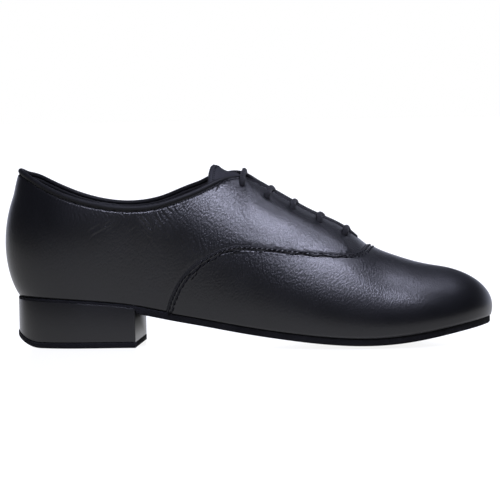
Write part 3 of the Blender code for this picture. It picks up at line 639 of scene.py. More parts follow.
def findSpot(x, z):
    # place round the outer side and height up it that show at x, z from the side
    places, ups = np.linspace(0.01, halfGirth, 140), np.linspace(0, 1, 140)
    for _ in range(7):
        grid = np.meshgrid(places, ups, indexing="ij")
        found = skinPoint(*grid)
        miss = (found[..., 0] - x) ** 2 + (found[..., 2] - z) ** 2
        k = np.unravel_index(miss.argmin(), miss.shape)
        place, up = grid[0][k], grid[1][k]
        spanPlace, spanUp = (places[-1] - places[0]) / 12, (ups[-1] - ups[0]) / 12
        places = np.linspace(place - spanPlace, place + spanPlace, 25)
        ups = np.clip(np.linspace(up - spanUp, up + spanUp, 25), 0, 1)
    return place, up


def grainMark(points):
    # strong on the facings and flanks, faint at the heel, the toe and low down
    x, z = points[..., 0] / mm, points[..., 2] / mm
    mark = 0.36 + 0.70 * ease(45, 80, x) * (1 - ease(232, 288, x))
    low = ease(16, 46, z)
    return mark * (0.30 + 0.70 * low)


def nearLine(points, line):
    # distance from each point to a line of points, and how far along the line
    gone = arcLength(line)
    flat = points.reshape(-1, 3)
    best, along = np.full(len(flat), 1e9), np.zeros(len(flat))
    start, way = line[:-1], np.diff(line, axis=0)
    size = np.maximum((way**2).sum(axis=1), 1e-18)
    for begin in range(0, len(flat), 4000):
        part = flat[begin:begin + 4000]
        share = np.clip(((part[:, None] - start) * way).sum(-1) / size, 0, 1)
        away = np.linalg.norm(part[:, None] - start - share[..., None] * way, axis=-1)
        pick = away.argmin(axis=1)
        rows = np.arange(len(part))
        best[begin:begin + 4000] = away[rows, pick]
        along[begin:begin + 4000] = gone[pick] + share[rows, pick] * np.sqrt(size[pick])
    return best.reshape(points.shape[:-1]), along.reshape(points.shape[:-1])


def columnHeights(places, low, high, rows, crowding):
    # heights up each column, crowded towards its top edge
    found = np.zeros((len(places), rows))
    share = np.linspace(1, 0, rows)
    wanted = 1 - (crowding * share + (1 - crowding) * share**2)
    for k, place in enumerate(places):
        steps = np.linspace(low[k], high[k], 60)
        gone = arcLength(skinPoint(np.full(60, place), steps))
        found[k] = np.interp(wanted * gone[-1], gone, steps)
    return found


# quarters

quarter = {
    "columns": 640, "rows": 70, "crowding": 0.30,
    "thickness": 1.2 * mm, "overlap": 7 * mm, "seamDip": 0.35 * mm,
    "stitchSetback": 1.25 * mm, "stitchPitch": 1.8 * mm, "stitchLength": 1.15 * mm,
    "groove": 0.60 * mm, "grooveWidth": 0.52 * mm,
    "pucker": 0.10 * mm, "puckerReach": 3.0 * mm,
    "eyeletRadius": 1.5 * mm, "eyeletDip": 0.7 * mm, "eyeletDipWidth": 2.3 * mm,
}
# mm from the back and above the floor
eyeletsAt = [(144.2, 95.1), (158.8, 87.6), (173.7, 80.8), (189.7, 72.7), (204.6, 65.0)]
barsCross = [144.0, 160.8, 173.7, 188.5, 204.3]  # where each bar of the lace crosses the ridge

eyeletPlaces, eyeletUps = np.array([findSpot(x * mm, z * mm) for x, z in eyeletsAt]).T
linePlaces, lineUps = np.array([findSpot(x * mm, z * mm) for x, z in facingLine]).T
barPlaces = np.array([placeAt(x * mm, column=2) for x in barsCross])
eyeletPoints = {side: skinPoint(places, eyeletUps)
                for side, places in ((-1, eyeletPlaces), (1, mirrored(eyeletPlaces)))}

seamFirst = placeAt(shoe["seamStart"])
seamLast = placeAt(shoe["seamEnd"], column=2)
throatPlace = placeAt(shoe["throatFromBack"], column=2)


def sided(places, side):
    return places if side < 0 else mirrored(places)


def seamTops(places):
    tops = crossing(seamRoom, places)
    home = np.minimum(places, mirrored(places))
    tops[home <= seamFirst + 1e-9] = 0.0
    tops[home >= seamLast - 1e-9] = 1.0
    return tops


def topHeights(places):
    return crossing(leatherRoom, places)


def edgeTrace(side, tops, first, last, count):
    # the edge of one side as places, heights and points, evenly spread
    fine = np.linspace(first, last, 900)
    line = skinPoint(sided(fine, side), tops(sided(fine, side)))
    places = evenly(fine, line, count)
    where = sided(places, side)
    heights = tops(where)
    return where, heights, skinPoint(where, heights)


def steadied(line):
    # points that stand off the run of their neighbours are drawn back into it
    middle = (line[:-2] + line[2:]) / 2
    good = np.ones(len(line), bool)
    good[1:-1] = np.linalg.norm(line[1:-1] - middle, axis=1) < 0.4 * mm
    index = np.arange(len(line))
    return np.column_stack([np.interp(index, index[good], line[good, k]) for k in range(3)])


def setIn(edge, distance):
    # a line beside an edge, on the leather's side of it
    where, heights, line = edge
    normal = skinNormal(where, heights)
    along = unit(np.gradient(line, axis=0))
    side = unit(np.cross(along, normal))
    below = skinPoint(where, np.maximum(heights - 0.02, 0)) - line
    below = np.where((heights < 0.03)[:, None], np.array([1.0, 0, 0]), below)
    side *= np.sign((side * below).sum(axis=1) + 1e-12)[:, None]
    return steadied(line + side * distance)


topEdge = {side: edgeTrace(side, topHeights, 0.0, throatPlace, 460) for side in (-1, 1)}
seamEdge = {side: edgeTrace(side, seamTops, seamFirst, seamLast, 340) for side in (-1, 1)}
topLine = {side: topEdge[side][2] for side in (-1, 1)}
seamLine = {side: seamEdge[side][2] for side in (-1, 1)}
collarStitchLine = {side: setIn(topEdge[side], quarter["stitchSetback"]) for side in (-1, 1)}


def reachDown(places, reach):
    # the height up each column that lies a given way down from the ridge
    steps = np.linspace(1, 0, 300)
    found = []
    for place, wanted in zip(places, reach):
        gone = arcLength(skinPoint(np.full(len(steps), place), steps))
        found.append(np.interp(wanted, gone, steps))
    return np.array(found)


def stitchCount(line, pitch):
    return max(int(round(arcLength(line)[-1] / pitch)), 1)


def facingLift(where, heights, base, side):
    # the facing's stiff strip turns up at a soft edge
    home = np.minimum(where, mirrored(where))
    level = np.interp(home, linePlaces, lineUps)
    line = skinPoint(sided(linePlaces, side), lineUps)
    away, _ = nearLine(base, line)
    reach = np.where(heights > level[:, None], facingFold["above"], facingFold["below"])
    crisp = facingFold["crisp"]
    tent = 1 - (np.sqrt(away**2 + crisp**2) - crisp) / reach
    fade = ease(linePlaces[0] - 9 * mm, linePlaces[0] + 3 * mm, home)
    fade *= 1 - ease(linePlaces[-1] - 6 * mm, linePlaces[-1] + 2 * mm, home)
    return facingFold["height"] * np.clip(tent, 0, 1) * fade[:, None]


def quarterSkin(side):
    last = seamLast + quarter["overlap"]
    fine = np.linspace(0, last, 1200)
    line = skinPoint(sided(fine, side), topHeights(sided(fine, side)))
    places = 0.7 * evenly(fine, line, quarter["columns"])
    places += 0.3 * np.linspace(0, last, quarter["columns"])
    where = sided(places, side)
    tops = topHeights(where)
    heights = columnHeights(where, 0 * tops, tops, quarter["rows"], quarter["crowding"])
    spots = where[:, None]
    base, normal = skinPoint(spots, heights), skinNormal(spots, heights)
    lift = foldHeight(base) + facingLift(where, heights, base, side)
    stitchAway, along = nearLine(base, collarStitchLine[side])
    away, _ = nearLine(base, topLine[side])
    lift -= quarter["groove"] * np.exp(-((stitchAway / quarter["grooveWidth"]) ** 2))
    # the thread draws the leather into a small pucker at each stitch
    pitch = arcLength(collarStitchLine[side])[-1]
    pitch /= stitchCount(collarStitchLine[side], quarter["stitchPitch"])
    ripple = -np.cos(2 * math.pi * along / pitch)
    uneven = 0.65 + 0.35 * np.sin(along / (5.1 * mm)) * np.sin(along / (3.3 * mm) + 1.3)
    below = np.clip(away - quarter["stitchSetback"], 0, 1)
    reach = ease(0.1, 0.9, below / mm) * np.exp(-below / quarter["puckerReach"])
    lift += quarter["pucker"] * ripple * reach * uneven
    for spot in eyeletPoints[side]:
        gap = np.linalg.norm(base - spot, axis=-1)
        lift -= quarter["eyeletDip"] * np.exp(-((gap / quarter["eyeletDipWidth"]) ** 2))
    # the quarter lies flat under the vamp, and its back seam is drawn in
    seamAway, _ = nearLine(base, seamLine[side])
    under = (heights < seamTops(where)[:, None]) & (places > seamFirst)[:, None]
    lift = np.where(under, -0.4 * mm * ease(0, 1.5, seamAway / mm) - 0.1 * mm, lift)
    lift -= 0.15 * mm * np.exp(-((seamAway / (1.2 * mm)) ** 2)) * ~under
    lift -= quarter["seamDip"] * np.exp(-((places / (0.7 * mm)) ** 2))[:, None]
    dull = np.exp(-((stitchAway / quarter["grooveWidth"]) ** 4))
    dull = np.maximum(dull, np.exp(-((seamAway / (0.7 * mm)) ** 4)))
    points = (base + normal * lift[..., None]).reshape(-1, 3)
    marks = {"grain": grainMark(base).ravel(), "dull": dull.ravel()}
    return points, gridFaces(len(where), quarter["rows"]), marks


def punchEyelets(mesh, spots):
    # opens the skin at each eyelet and rounds the rim of the hole
    shape = bmesh.new()
    shape.from_mesh(mesh)
    radius = quarter["eyeletRadius"]
    for spot in inFrame(spots):
        centre = Vector(spot)
        near = [v for v in shape.verts if (v.co - centre).length < radius * 1.6]
        if not near:
            continue
        facing = sum((v.normal for v in near), Vector()).normalized()
        middle = sum((v.co for v in near), Vector()) / len(near)

        def fromMiddle(point):
            away = point - middle
            return away - facing * away.dot(facing)

        doomed = {f for v in near for f in v.link_faces
                  if fromMiddle(f.calc_center_median()).length < radius}
        rim = {v for f in doomed for v in f.verts if any(g not in doomed for g in v.link_faces)}
        bmesh.ops.delete(shape, geom=list(doomed), context="FACES")
        for v in rim:
            away = fromMiddle(v.co)
            v.co += away.normalized() * radius - away
    shape.to_mesh(mesh)
    shape.free()
    mesh.shade_smooth()


quarters = {}
for side, name in ((-1, "quarterOuter"), (1, "quarterInner")):
    skin = outsideUp(makeMesh(name, *quarterSkin(side)))
    punchEyelets(skin, eyeletPoints[side])
    quarters[side] = addPiece(name, skin, calf, ["upper"])
    giveThickness(quarters[side], quarter["thickness"])
print("quarters made")

# lining

lining = {"columns": 150, "rows": 30, "inside": 1.15 * mm,
          "thickness": 0.45 * mm}


def liningSkin():
    places = np.linspace(0, halfGirth, lining["columns"])
    points, faces = [], []
    for side in (-1, 1):
        where = sided(places, side)
        tops = topHeights(where)
        tops = np.where(tops < 1, np.maximum(tops - 0.004, 0), 1)
        heights = columnHeights(where, 0 * tops, tops, lining["rows"], 0.7)
        spots = where[:, None]
        base = skinPoint(spots, heights)
        faces.extend(gridFaces(len(where), lining["rows"], sum(len(p) for p in points)))
        points.append((base - skinNormal(spots, heights) * lining["inside"]).reshape(-1, 3))
    return np.vstack(points), faces


points, faces = liningSkin()
innerSkin = addPiece("lining", outsideUp(makeMesh("lining", points, faces)),
                     liningLeather)
giveThickness(innerSkin, lining["thickness"])
print("lining made")

# vamp

vamp = {
    "columns": 340, "rows": 64, "crowding": 0.28,
    "lift": 1.05 * mm, "sunk": -0.15 * mm, "edgeRound": 0.7 * mm, "thickness": 0.9 * mm,
    "stitchRows": (0.80 * mm, 2.90 * mm), "stitchPitch": 3.05 * mm, "stitchLength": 2.7 * mm,
    "groove": 0.55 * mm, "grooveWidth": 0.48 * mm,
    "scallop": 0.24 * mm, "scallopAt": 0.85 * mm, "scallopWidth": 0.55 * mm,
}
vampRows = [{side: setIn(seamEdge[side], setback) for side in (-1, 1)}
            for setback in vamp["stitchRows"]]


def vampSkin():
    fine = np.linspace(seamFirst, seamLast, 900)
    climbing = evenly(fine, skinPoint(fine, seamTops(fine)), int(vamp["columns"] * 0.72))
    ahead = np.linspace(seamLast, halfGirth, vamp["columns"] - len(climbing) + 1)[1:]
    places = np.concatenate([climbing, ahead])
    points, faces, marks, dulls = [], [], [], []
    for side in (-1, 1):
        where = sided(places, side)
        tops = seamTops(where)
        heights = columnHeights(where, 0 * tops, tops, vamp["rows"], vamp["crowding"])
        spots = where[:, None]
        base, normal = skinPoint(spots, heights), skinNormal(spots, heights)
        away, _ = nearLine(base, np.vstack([seamLine[-1], seamLine[1][::-1]]))
        edge = np.clip(away / vamp["edgeRound"], 0, 1)
        rounded = np.sqrt(np.clip(1 - (1 - edge) ** 2, 0, 1))
        lift = vamp["sunk"] + (vamp["lift"] - vamp["sunk"]) * rounded
        dull = 0 * lift
        for number, rows in enumerate(vampRows):
            rowAway, along = nearLine(base, rows[side])
            dull += np.exp(-((rowAway / vamp["grooveWidth"]) ** 4))
            lift -= vamp["groove"] * np.exp(-((rowAway / vamp["grooveWidth"]) ** 2))
            if number == 0:
                continue
            pitch = arcLength(rows[side])[-1] / stitchCount(rows[side], vamp["stitchPitch"])
            swell = (0.5 + 0.5 * np.cos(2 * math.pi * along / pitch)) ** 1.5
            below = away - vamp["stitchRows"][1] - vamp["scallopAt"]
            lift += vamp["scallop"] * swell * np.exp(-((below / vamp["scallopWidth"]) ** 2))
        lift += foldHeight(base)
        faces.extend(gridFaces(len(where), vamp["rows"], sum(len(p) for p in points)))
        points.append((base + normal * lift[..., None]).reshape(-1, 3))
        marks.append(grainMark(base).ravel())
        dulls.append(np.clip(dull, 0, 1).ravel())
    marks = {"grain": np.concatenate(marks), "dull": np.concatenate(dulls)}
    return np.vstack(points), faces, marks


vampPiece = addPiece("vampLeather", outsideUp(makeMesh("vampLeather", *vampSkin())),
                     calf, ["vamp"])
giveThickness(vampPiece, vamp["thickness"])
print("vamp made")

# tongue

tongue = {
    "columns": 60, "rows": 40, "halfWidth": 24 * mm, "inside": 2.75 * mm, "thickness": 1.5 * mm,
    "setBack": 0.6 * mm, "peak": 0.5 * mm, "peakAt": 128.2, "peakWidth": 1.6,
    "dip": 1.5 * mm, "dipAt": 133.4, "dipWidth": 3.8,  # places and widths in mm
}


def tongueSkin():
    first = placeAt(shoe["tongueTop"] - tongue["setBack"], column=2)
    last = placeAt(shoe["tongueFront"], column=2)
    places = np.linspace(first, last, tongue["columns"])
    lows = reachDown(places, np.linspace(1.0, 0.75, len(places)) * tongue["halfWidth"])
    points, faces = [], []
    for where in (places, mirrored(places)):
        heights = lows[:, None] + (1 - lows[:, None]) * np.linspace(0, 1, tongue["rows"])
        spots = where[:, None]
        base = skinPoint(spots, heights) - tongue["inside"] * skinNormal(spots, heights)
        # the top corner stands up and the leather dips ahead of it
        for form, sign in (("peak", 1), ("dip", -1)):
            away = (base[..., 0] / mm - tongue[form + "At"]) / tongue[form + "Width"]
            base[..., 2] += sign * tongue[form] * np.exp(-away ** 2)
        faces.extend(gridFaces(len(where), tongue["rows"], sum(len(p) for p in points)))
        points.append(base.reshape(-1, 3))
    return np.vstack(points), faces


points, faces = tongueSkin()
tonguePiece = addPiece("tongueLeather", outsideUp(makeMesh("tongueLeather", points, faces)),
                       liningLeather, ["tongue"])
giveThickness(tonguePiece, tongue["thickness"])
print("tongue made")

# binding round the collar and down both facings

binding = {
    "radius": 1.40 * mm, "facingRadius": 0.62 * mm, "overEdge": 0.80 * mm, "bottomSwell": 0.9,
    "facingOver": 0.30 * mm, "sunk": 0.35, "flat": 1.08, "thinsBefore": (18 * mm, 6 * mm),
    "sides": 14,
}


def bindingBead():
    sides = []
    for side in (-1, 1):
        where, heights, edge = topEdge[side]
        normal = skinNormal(where, heights)
        along = unit(np.gradient(edge, axis=0))
        off = unit(np.cross(along, normal)) * (-1 if side < 0 else 1)
        above = skinPoint(where, np.minimum(heights + 0.01, 1)) - skinPoint(where, heights - 0.01)
        off *= np.sign((off * above).sum(axis=1))[:, None]
        sides.append((edge, normal, off))
    edge = np.vstack([sides[0][0][::-1], sides[1][0][1:]])
    normal = np.vstack([sides[0][1][::-1], sides[1][1][1:]])
    off = np.vstack([sides[0][2][::-1], sides[1][2][1:]])
    x = edge[:, 0]
    first, last = (shoe["firstEyelet"] - before for before in binding["thinsBefore"])
    facing = ease(first, last, x)
    thin = binding["facingRadius"] * (1 + binding["bottomSwell"] * ease(1, 4, edge[:, 1] / mm))
    radius = binding["radius"] + (thin - binding["radius"]) * facing
    reach = binding["overEdge"] * (1 - facing) + binding["facingOver"] * facing
    sunk = (binding["sunk"] - binding["sunk"] * facing) * mm
    centre = edge + off * reach[:, None] - normal * sunk[:, None]
    return tubeMesh("bindingLeather", centre, off, normal, radius * binding["flat"], radius,
                    binding["sides"])


addPiece("bindingLeather", bindingBead(), bindingLeather, ["collar_binding"])
print("binding made")

# sole, insole and heel, as plates with rounded rims

soleSizes = {"columns": 170, "across": 20, "edge": 0.48 * mm, "edgeRound": 0.9 * mm,
             "seatBefore": 0.2 * mm, "seatAfter": 1.5 * mm}
blockSizes = {"columns": 70, "across": 24, "edge": 0.5 * mm, "edgeRound": 0.7 * mm,
              "overSeat": 1.0 * mm}
tipSizes = {"columns": 70, "across": 24, "edge": 1.0 * mm, "edgeRound": 0.8 * mm,
            "thickness": 3.3 * mm, "bevelHeight": 7.0 * mm, "bevelLength": 17 * mm}


def plate(name, places, edge, top, bottom, rounding, count, flatEnd=None, turns=4):
    # rings round the plate's section, from the back to the front
    shares = np.linspace(-1, 1, count + 1)
    ringed = []
    for place in places:
        rims = []
        for spot in (place, mirrored(place)):
            out = outward(np.array(spot))
            rims.append((ring(np.array(spot))[:2] + edge * out, out))
        (a, outA), (b, outB) = rims
        if flatEnd is not None and abs(place - places[-1]) < 1e-12:
            a, b = np.array([flatEnd, a[1]]), np.array([flatEnd, b[1]])
            outA, outB = np.array([0.0, -1.0]), np.array([0.0, 1.0])
        insideA, insideB = a - outA * rounding, b - outB * rounding
        across = ring(np.array(place))[:2] - ring(np.array(mirrored(place)))[:2]
        closed = np.linalg.norm(across) < 1e-7
        line = insideA + (insideB - insideA) * ((shares + 1) / 2)[:, None]
        level = np.ones(len(shares)) if closed else shares
        topZ, bottomZ = top(line[:, 0], level), bottom(line[:, 0], level)
        over = np.column_stack([line, topZ])
        under = np.column_stack([line, bottomZ])
        angles = np.linspace(0, math.pi / 2, turns + 1)[1:]
        rimB, rimA = [], []
        radius = min(rounding, (topZ[-1] - bottomZ[-1]) / 2)
        for angle in angles:
            push, drop = math.sin(angle) * rounding, (1 - math.cos(angle)) * radius
            rimB.append([*(insideB + outB * push), topZ[-1] - drop])
            rimA.append([*(insideA + outA * push), bottomZ[0] + drop])
        for angle in angles[::-1]:
            push, drop = math.sin(angle) * rounding, (1 - math.cos(angle)) * radius
            rimB.append([*(insideB + outB * push), bottomZ[-1] + drop])
            rimA.append([*(insideA + outA * push), topZ[0] - drop])
        ringed.append(np.vstack([over, rimB, under[::-1], rimA]))
    points, each = np.vstack(ringed), len(ringed[-1])
    faces = gridFaces(len(places), each, ringed=True)
    if flatEnd is not None:
        faces.append(tuple(range(len(points) - each, len(points))))
    return makeMesh(name, points, faces)


breastPlace = placeAt(shoe["breastFromBack"])
forePlaces = np.linspace(breastPlace, halfGirth, soleSizes["columns"])
rearPlaces = np.linspace(0, breastPlace, blockSizes["columns"])


def soleUnder(x, across):
    # the forepart is a full plate; over the heel it thins to the seat
    ahead = ease(shoe["breastFromBack"] - soleSizes["seatBefore"],
                 shoe["breastFromBack"] + soleSizes["seatAfter"], x)
    thick = shoe["seatThickness"] + (shoe["soleThickness"] - shoe["seatThickness"]) * ahead
    return np.maximum(bedTop(x, across) - thick, 0)


solePlaces = np.concatenate([rearPlaces[:-1], [breastPlace - 1e-5], forePlaces])
addPiece("soleLeather",
         plate("soleLeather", solePlaces, soleSizes["edge"], bedTop, soleUnder,
               soleSizes["edgeRound"], soleSizes["across"]),
         suede, ["outsole"])


def tread(x, across):
    back = lastStations[0, 0] * shoe["length"] - tipSizes["edge"]
    share = np.clip((back + tipSizes["bevelLength"] - x) / tipSizes["bevelLength"], 0, 1)
    return tipSizes["bevelHeight"] * share**2 + 0 * across


def blockTop(x, across):
    return bedTop(x, across) - shoe["seatThickness"] + blockSizes["overSeat"]


def blockBottom(x, across):
    return tread(x, across) + tipSizes["thickness"] + shoe["clearance"] * 0.3


def tipTop(x, across):
    return tread(x, across) + tipSizes["thickness"]


addPiece(
    "heelBlock",
    plate("heelBlock", rearPlaces, blockSizes["edge"], blockTop, blockBottom,
          blockSizes["edgeRound"], blockSizes["across"], shoe["breastFromBack"]),
    blockLeather, ["heel_block"])
addPiece(
    "heelTip",
    plate("heelTip", rearPlaces, tipSizes["edge"], tipTop, tread, tipSizes["edgeRound"],
          tipSizes["across"], shoe["breastFromBack"]),
    suede, ["heel_tip"])

sock = {"columns": 150, "across": 20, "inset": -2.4 * mm, "thickness": 1.8 * mm, "round": 0.6 * mm}
addPiece(
    "insoleSock",
    plate("insoleSock", np.linspace(0, halfGirth, sock["columns"]), sock["inset"],
          lambda x, a: bedTop(x, a) + shoe["clearance"] + sock["thickness"],
          lambda x, a: bedTop(x, a) + shoe["clearance"], sock["round"], sock["across"]),
    liningLeather, ["insole"])
print("sole and heel made")

# laces: bars across the facings, and the runs under them from eyelet to eyelet

lace = {
    "wide": 1.65 * mm, "tall": 1.25 * mm, "points": 40, "dive": 2.6 * mm, "diveWidth": 1.3 * mm,
    "sag": 0.3 * mm, "ribs": 0.055, "ribPitch": 1.1 * mm, "underDepth": 2.15 * mm,
    "underTall": 0.48 * mm, "sagWidth": 0.12, "sides": 18,
}
# the start of the lace, from its own first point, in mm
lump = {"start": (0.4, 0, -0.3), "back": 6, "points": 14, "radius": 0.85 * mm,
        "way": [(0, 0, 0), (1.0, -0.3, -0.4), (1.9, -1.2, -1.6), (2.1, -2.4, -3.0)]}


def cordMesh(name, paths):
    # each path is points, side and lift directions, and half sizes; the braid stands in ribs
    shape = bmesh.new()
    for path, side, rise, wide, tall in paths:
        part = tubeMesh(name, path, side, rise, wide, tall, lace["sides"])
        gone = arcLength(inFrame(path))
        coords = np.array([v.co for v in part.vertices])
        _, along = nearLine(coords, inFrame(path))
        centre = np.column_stack([np.interp(along, gone, inFrame(path)[:, k]) for k in range(3)])
        out = coords - centre
        index = np.clip(np.searchsorted(gone, along), 0, len(path) - 1)
        turn = np.arctan2((out * rise[index]).sum(axis=1), (out * side[index]).sum(axis=1))
        weave = np.cos(3 * turn + 2 * math.pi * along / lace["ribPitch"])
        weave = weave * np.cos(3 * turn - 2 * math.pi * along / lace["ribPitch"])
        for v, spot in zip(part.vertices, centre + out * (1 + lace["ribs"] * weave)[:, None]):
            v.co = spot
        shape.from_mesh(part)
        bpy.data.meshes.remove(part)
    made = bpy.data.meshes.new(name)
    shape.to_mesh(made)
    shape.free()
    made.shade_smooth()
    return made


def framed(path, normal):
    along = unit(np.gradient(path, axis=0))
    side = unit(np.cross(along, normal))
    return side, unit(np.cross(side, along))


def laceBar(k):
    up = eyeletUps[k]
    climb = np.linspace(up, 1.0, lace["points"])
    halves = []
    for side in (-1, 1):
        where = sided(np.linspace(eyeletPlaces[k], barPlaces[k], len(climb)), side)
        halves.append((skinPoint(where, climb), skinNormal(where, climb)))
    base = np.vstack([halves[0][0], halves[1][0][-2::-1]])
    normal = np.vstack([halves[0][1], halves[1][1][-2::-1]])
    places = evenly(np.arange(len(base)), base, 2 * lace["points"])
    base = np.column_stack([np.interp(places, np.arange(len(base)), base[:, j]) for j in range(3)])
    normal = unit(np.column_stack(
        [np.interp(places, np.arange(len(normal)), normal[:, j]) for j in range(3)]))
    gone = arcLength(base)
    end = gone[-1]
    # the bar dives into the eyelet at both ends and lies over the gap at the middle
    dive = sum(np.exp(-((away / lace["diveWidth"]) ** 2)) for away in (gone, end - gone))
    lift = lace["tall"] * 0.9 - (lace["tall"] + lace["dive"]) * dive
    lift -= lace["sag"] * np.exp(-(((gone / end - 0.5) / lace["sagWidth"]) ** 2))
    path = base + normal * lift[:, None]
    side, rise = framed(path, normal)
    paths = [(path, side, rise, lace["wide"], lace["tall"])]
    if k == len(eyeletUps) - 1:
        # the start of the lace is tucked under the front bar and shows as a small lump
        middle = len(path) // 2 - lump["back"]
        knots = path[middle] + np.array(lump["start"]) * mm + np.array(lump["way"]) * mm
        bend = np.linspace(0, len(knots) - 1, lump["points"])
        tuck = np.column_stack(
            [np.interp(bend, np.arange(len(knots)), knots[:, j]) for j in range(3)])
        tuckSide, tuckRise = framed(tuck, np.repeat(normal[middle:middle + 1], len(tuck), axis=0))
        paths.append((tuck, tuckSide, tuckRise, lump["radius"], lump["radius"]))
    return cordMesh(f"lace{k + 1}", paths)


def laceRuns():
    # flat runs between the facings and the tongue; they end under the top eyelets
    paths = []
    for side in (-1, 1):
        for k in range(len(eyeletUps) - 1):
            share = np.linspace(0, 1, 20)
            places = sided(eyeletPlaces[k] + (eyeletPlaces[k + 1] - eyeletPlaces[k]) * share, side)
            ups = eyeletUps[k] + (eyeletUps[k + 1] - eyeletUps[k]) * share
            normal = skinNormal(places, ups)
            path = skinPoint(places, ups) - normal * lace["underDepth"]
            across, rise = framed(path, normal)
            paths.append((path, across, rise, lace["wide"], lace["underTall"]))
    return cordMesh("laceRuns", paths)


for k in range(len(eyeletUps)):
    addPiece(f"lace{k + 1}", laceBar(k), laceCloth, [f"lace_bar_{k + 1}"])
addPiece("laceRuns", laceRuns(), laceCloth)
print("laces made")

# stitches, set along their lines by geometry nodes

stitching = {
    "vamp": {"radius": 0.36 * mm, "slant": 0.20},
    "collar": {"radius": 0.34 * mm, "slant": 0.15},
    "lining": {"radius": 0.34 * mm, "slant": 0.30, "pitch": 1.8 * mm, "length": 1.2 * mm,
               "rows": (2.2 * mm, 4.4 * mm), "depth": 3.2 * mm, "points": 330},
    "tongue": {"radius": 0.26 * mm, "slant": 0.0, "pitch": 1.9 * mm, "length": 1.2 * mm,
               "rows": (2.0 * mm, 3.6 * mm), "inset": 2 * mm, "points": 40},
    "reach": 3 * mm,  # how far off the vamp its guide line starts
}


def stitchTree(name, finish):
    # one long bead at each point of a guide line, laid on the leather and leaned over
    tree = bpy.data.node_groups.new(name, "GeometryNodeTree")
    face = tree.interface
    face.new_socket("Guide", in_out="INPUT", socket_type="NodeSocketGeometry")
    sockets = {}
    for key, label, kind in (("count", "Stitches", "Int"), ("length", "Stitch length", "Float"),
                             ("radius", "Stitch radius", "Float"), ("slant", "Slant", "Float")):
        made = face.new_socket(label, in_out="INPUT", socket_type="NodeSocket" + kind)
        sockets[key] = made.identifier
    face.new_socket("Stitches", in_out="OUTPUT", socket_type="NodeSocketGeometry")
    given = newNode(tree, "NodeGroupInput").outputs
    line = newNode(tree, "GeometryNodeMeshToCurve", {"Mesh": given["Guide"]})
    spread = newNode(tree, "GeometryNodeResampleCurve", {"Curve": line.outputs["Curve"]},
                     mode="COUNT")
    tree.links.new(given["Stitches"], spread.inputs["Count"])
    ball = newNode(tree, "GeometryNodeMeshUVSphere", {"Segments": 8, "Rings": 6, "Radius": 1.0})
    form = newNode(tree, "ShaderNodeCombineXYZ", {
        "X": given["Stitch radius"], "Y": given["Stitch radius"],
        "Z": mathNode(tree, "MULTIPLY", given["Stitch length"], 0.5),
    })
    tangent = newNode(tree, "GeometryNodeInputTangent").outputs[0]
    follow = newNode(tree, "FunctionNodeAlignRotationToVector", {"Vector": tangent}, axis="Z")
    leather = newNode(tree, "GeometryNodeInputNamedAttribute", {"Name": "leather"},
                      data_type="FLOAT_VECTOR")
    stand = newNode(tree, "FunctionNodeAlignRotationToVector", {
        "Rotation": follow.outputs["Rotation"], "Vector": leather.outputs["Attribute"],
    }, axis="X", pivot_axis="Z")
    lean = newNode(tree, "FunctionNodeAxisAngleToRotation", {
        "Axis": (1, 0, 0), "Angle": given["Slant"],
    })
    turned = newNode(tree, "FunctionNodeRotateRotation", {
        "Rotation": stand.outputs["Rotation"], "Rotate By": lean.outputs["Rotation"],
    }, rotation_space="LOCAL")
    setOut = newNode(tree, "GeometryNodeInstanceOnPoints", {
        "Points": spread.outputs["Curve"], "Instance": ball.outputs["Mesh"],
        "Rotation": turned.outputs["Rotation"], "Scale": form.outputs[0],
    })
    real = newNode(tree, "GeometryNodeRealizeInstances",
                   {"Geometry": setOut.outputs["Instances"]})
    coat = newNode(tree, "GeometryNodeSetMaterial", {
        "Geometry": real.outputs["Geometry"], "Material": finish,
    })
    newNode(tree, "NodeGroupOutput", {"Stitches": coat.outputs["Geometry"]})
    return tree, sockets


stitchNodes, stitchSockets = stitchTree("stitchRow", thread)


def surfaceOf(*bodies):
    points, faces = [], []
    for body in bodies:
        seen = body.evaluated_get(bpy.context.evaluated_depsgraph_get()).to_mesh()
        faces.extend([[len(points) + v for v in f.vertices] for f in seen.polygons])
        points.extend([v.co.copy() for v in seen.vertices])
    return BVHTree.FromPolygons(points, faces)


def stitchRow(name, lines, surface, pitch, length, look):
    # lines are rows of points near the leather; the stitches lie on it
    made = []
    for line in lines:
        found = [surface.find_nearest(Vector(point)) for point in inFrame(line)]
        guideMesh = bpy.data.meshes.new(name)
        guideMesh.from_pydata([spot for spot, *_ in found],
                              [(k, k + 1) for k in range(len(found) - 1)], [])
        layer = guideMesh.attributes.new("leather", "FLOAT_VECTOR", "POINT")
        ups = np.array([normal for _, normal, *_ in found], np.float32)
        layer.data.foreach_set("vector", ups.ravel())
        guide = bpy.data.objects.new(name + "Guide", guideMesh)
        pieces.objects.link(guide)
        rows = guide.modifiers.new("stitches", "NODES")
        rows.node_group = stitchNodes
        rows[stitchSockets["count"]] = stitchCount(line, pitch) + 1
        rows[stitchSockets["length"]] = length
        rows[stitchSockets["radius"]] = look["radius"]
        rows[stitchSockets["slant"]] = look["slant"]
        depsgraph = bpy.context.evaluated_depsgraph_get()
        made.append(bpy.data.meshes.new_from_object(guide.evaluated_get(depsgraph),
                                                    depsgraph=depsgraph))
        bpy.data.objects.remove(guide, do_unlink=True)
    shape = bmesh.new()
    for mesh in made:
        shape.from_mesh(mesh)
    shape.to_mesh(made[0])
    shape.free()
    made[0].name = name
    made[0].shade_smooth()
    return addPiece(name, made[0], thread)


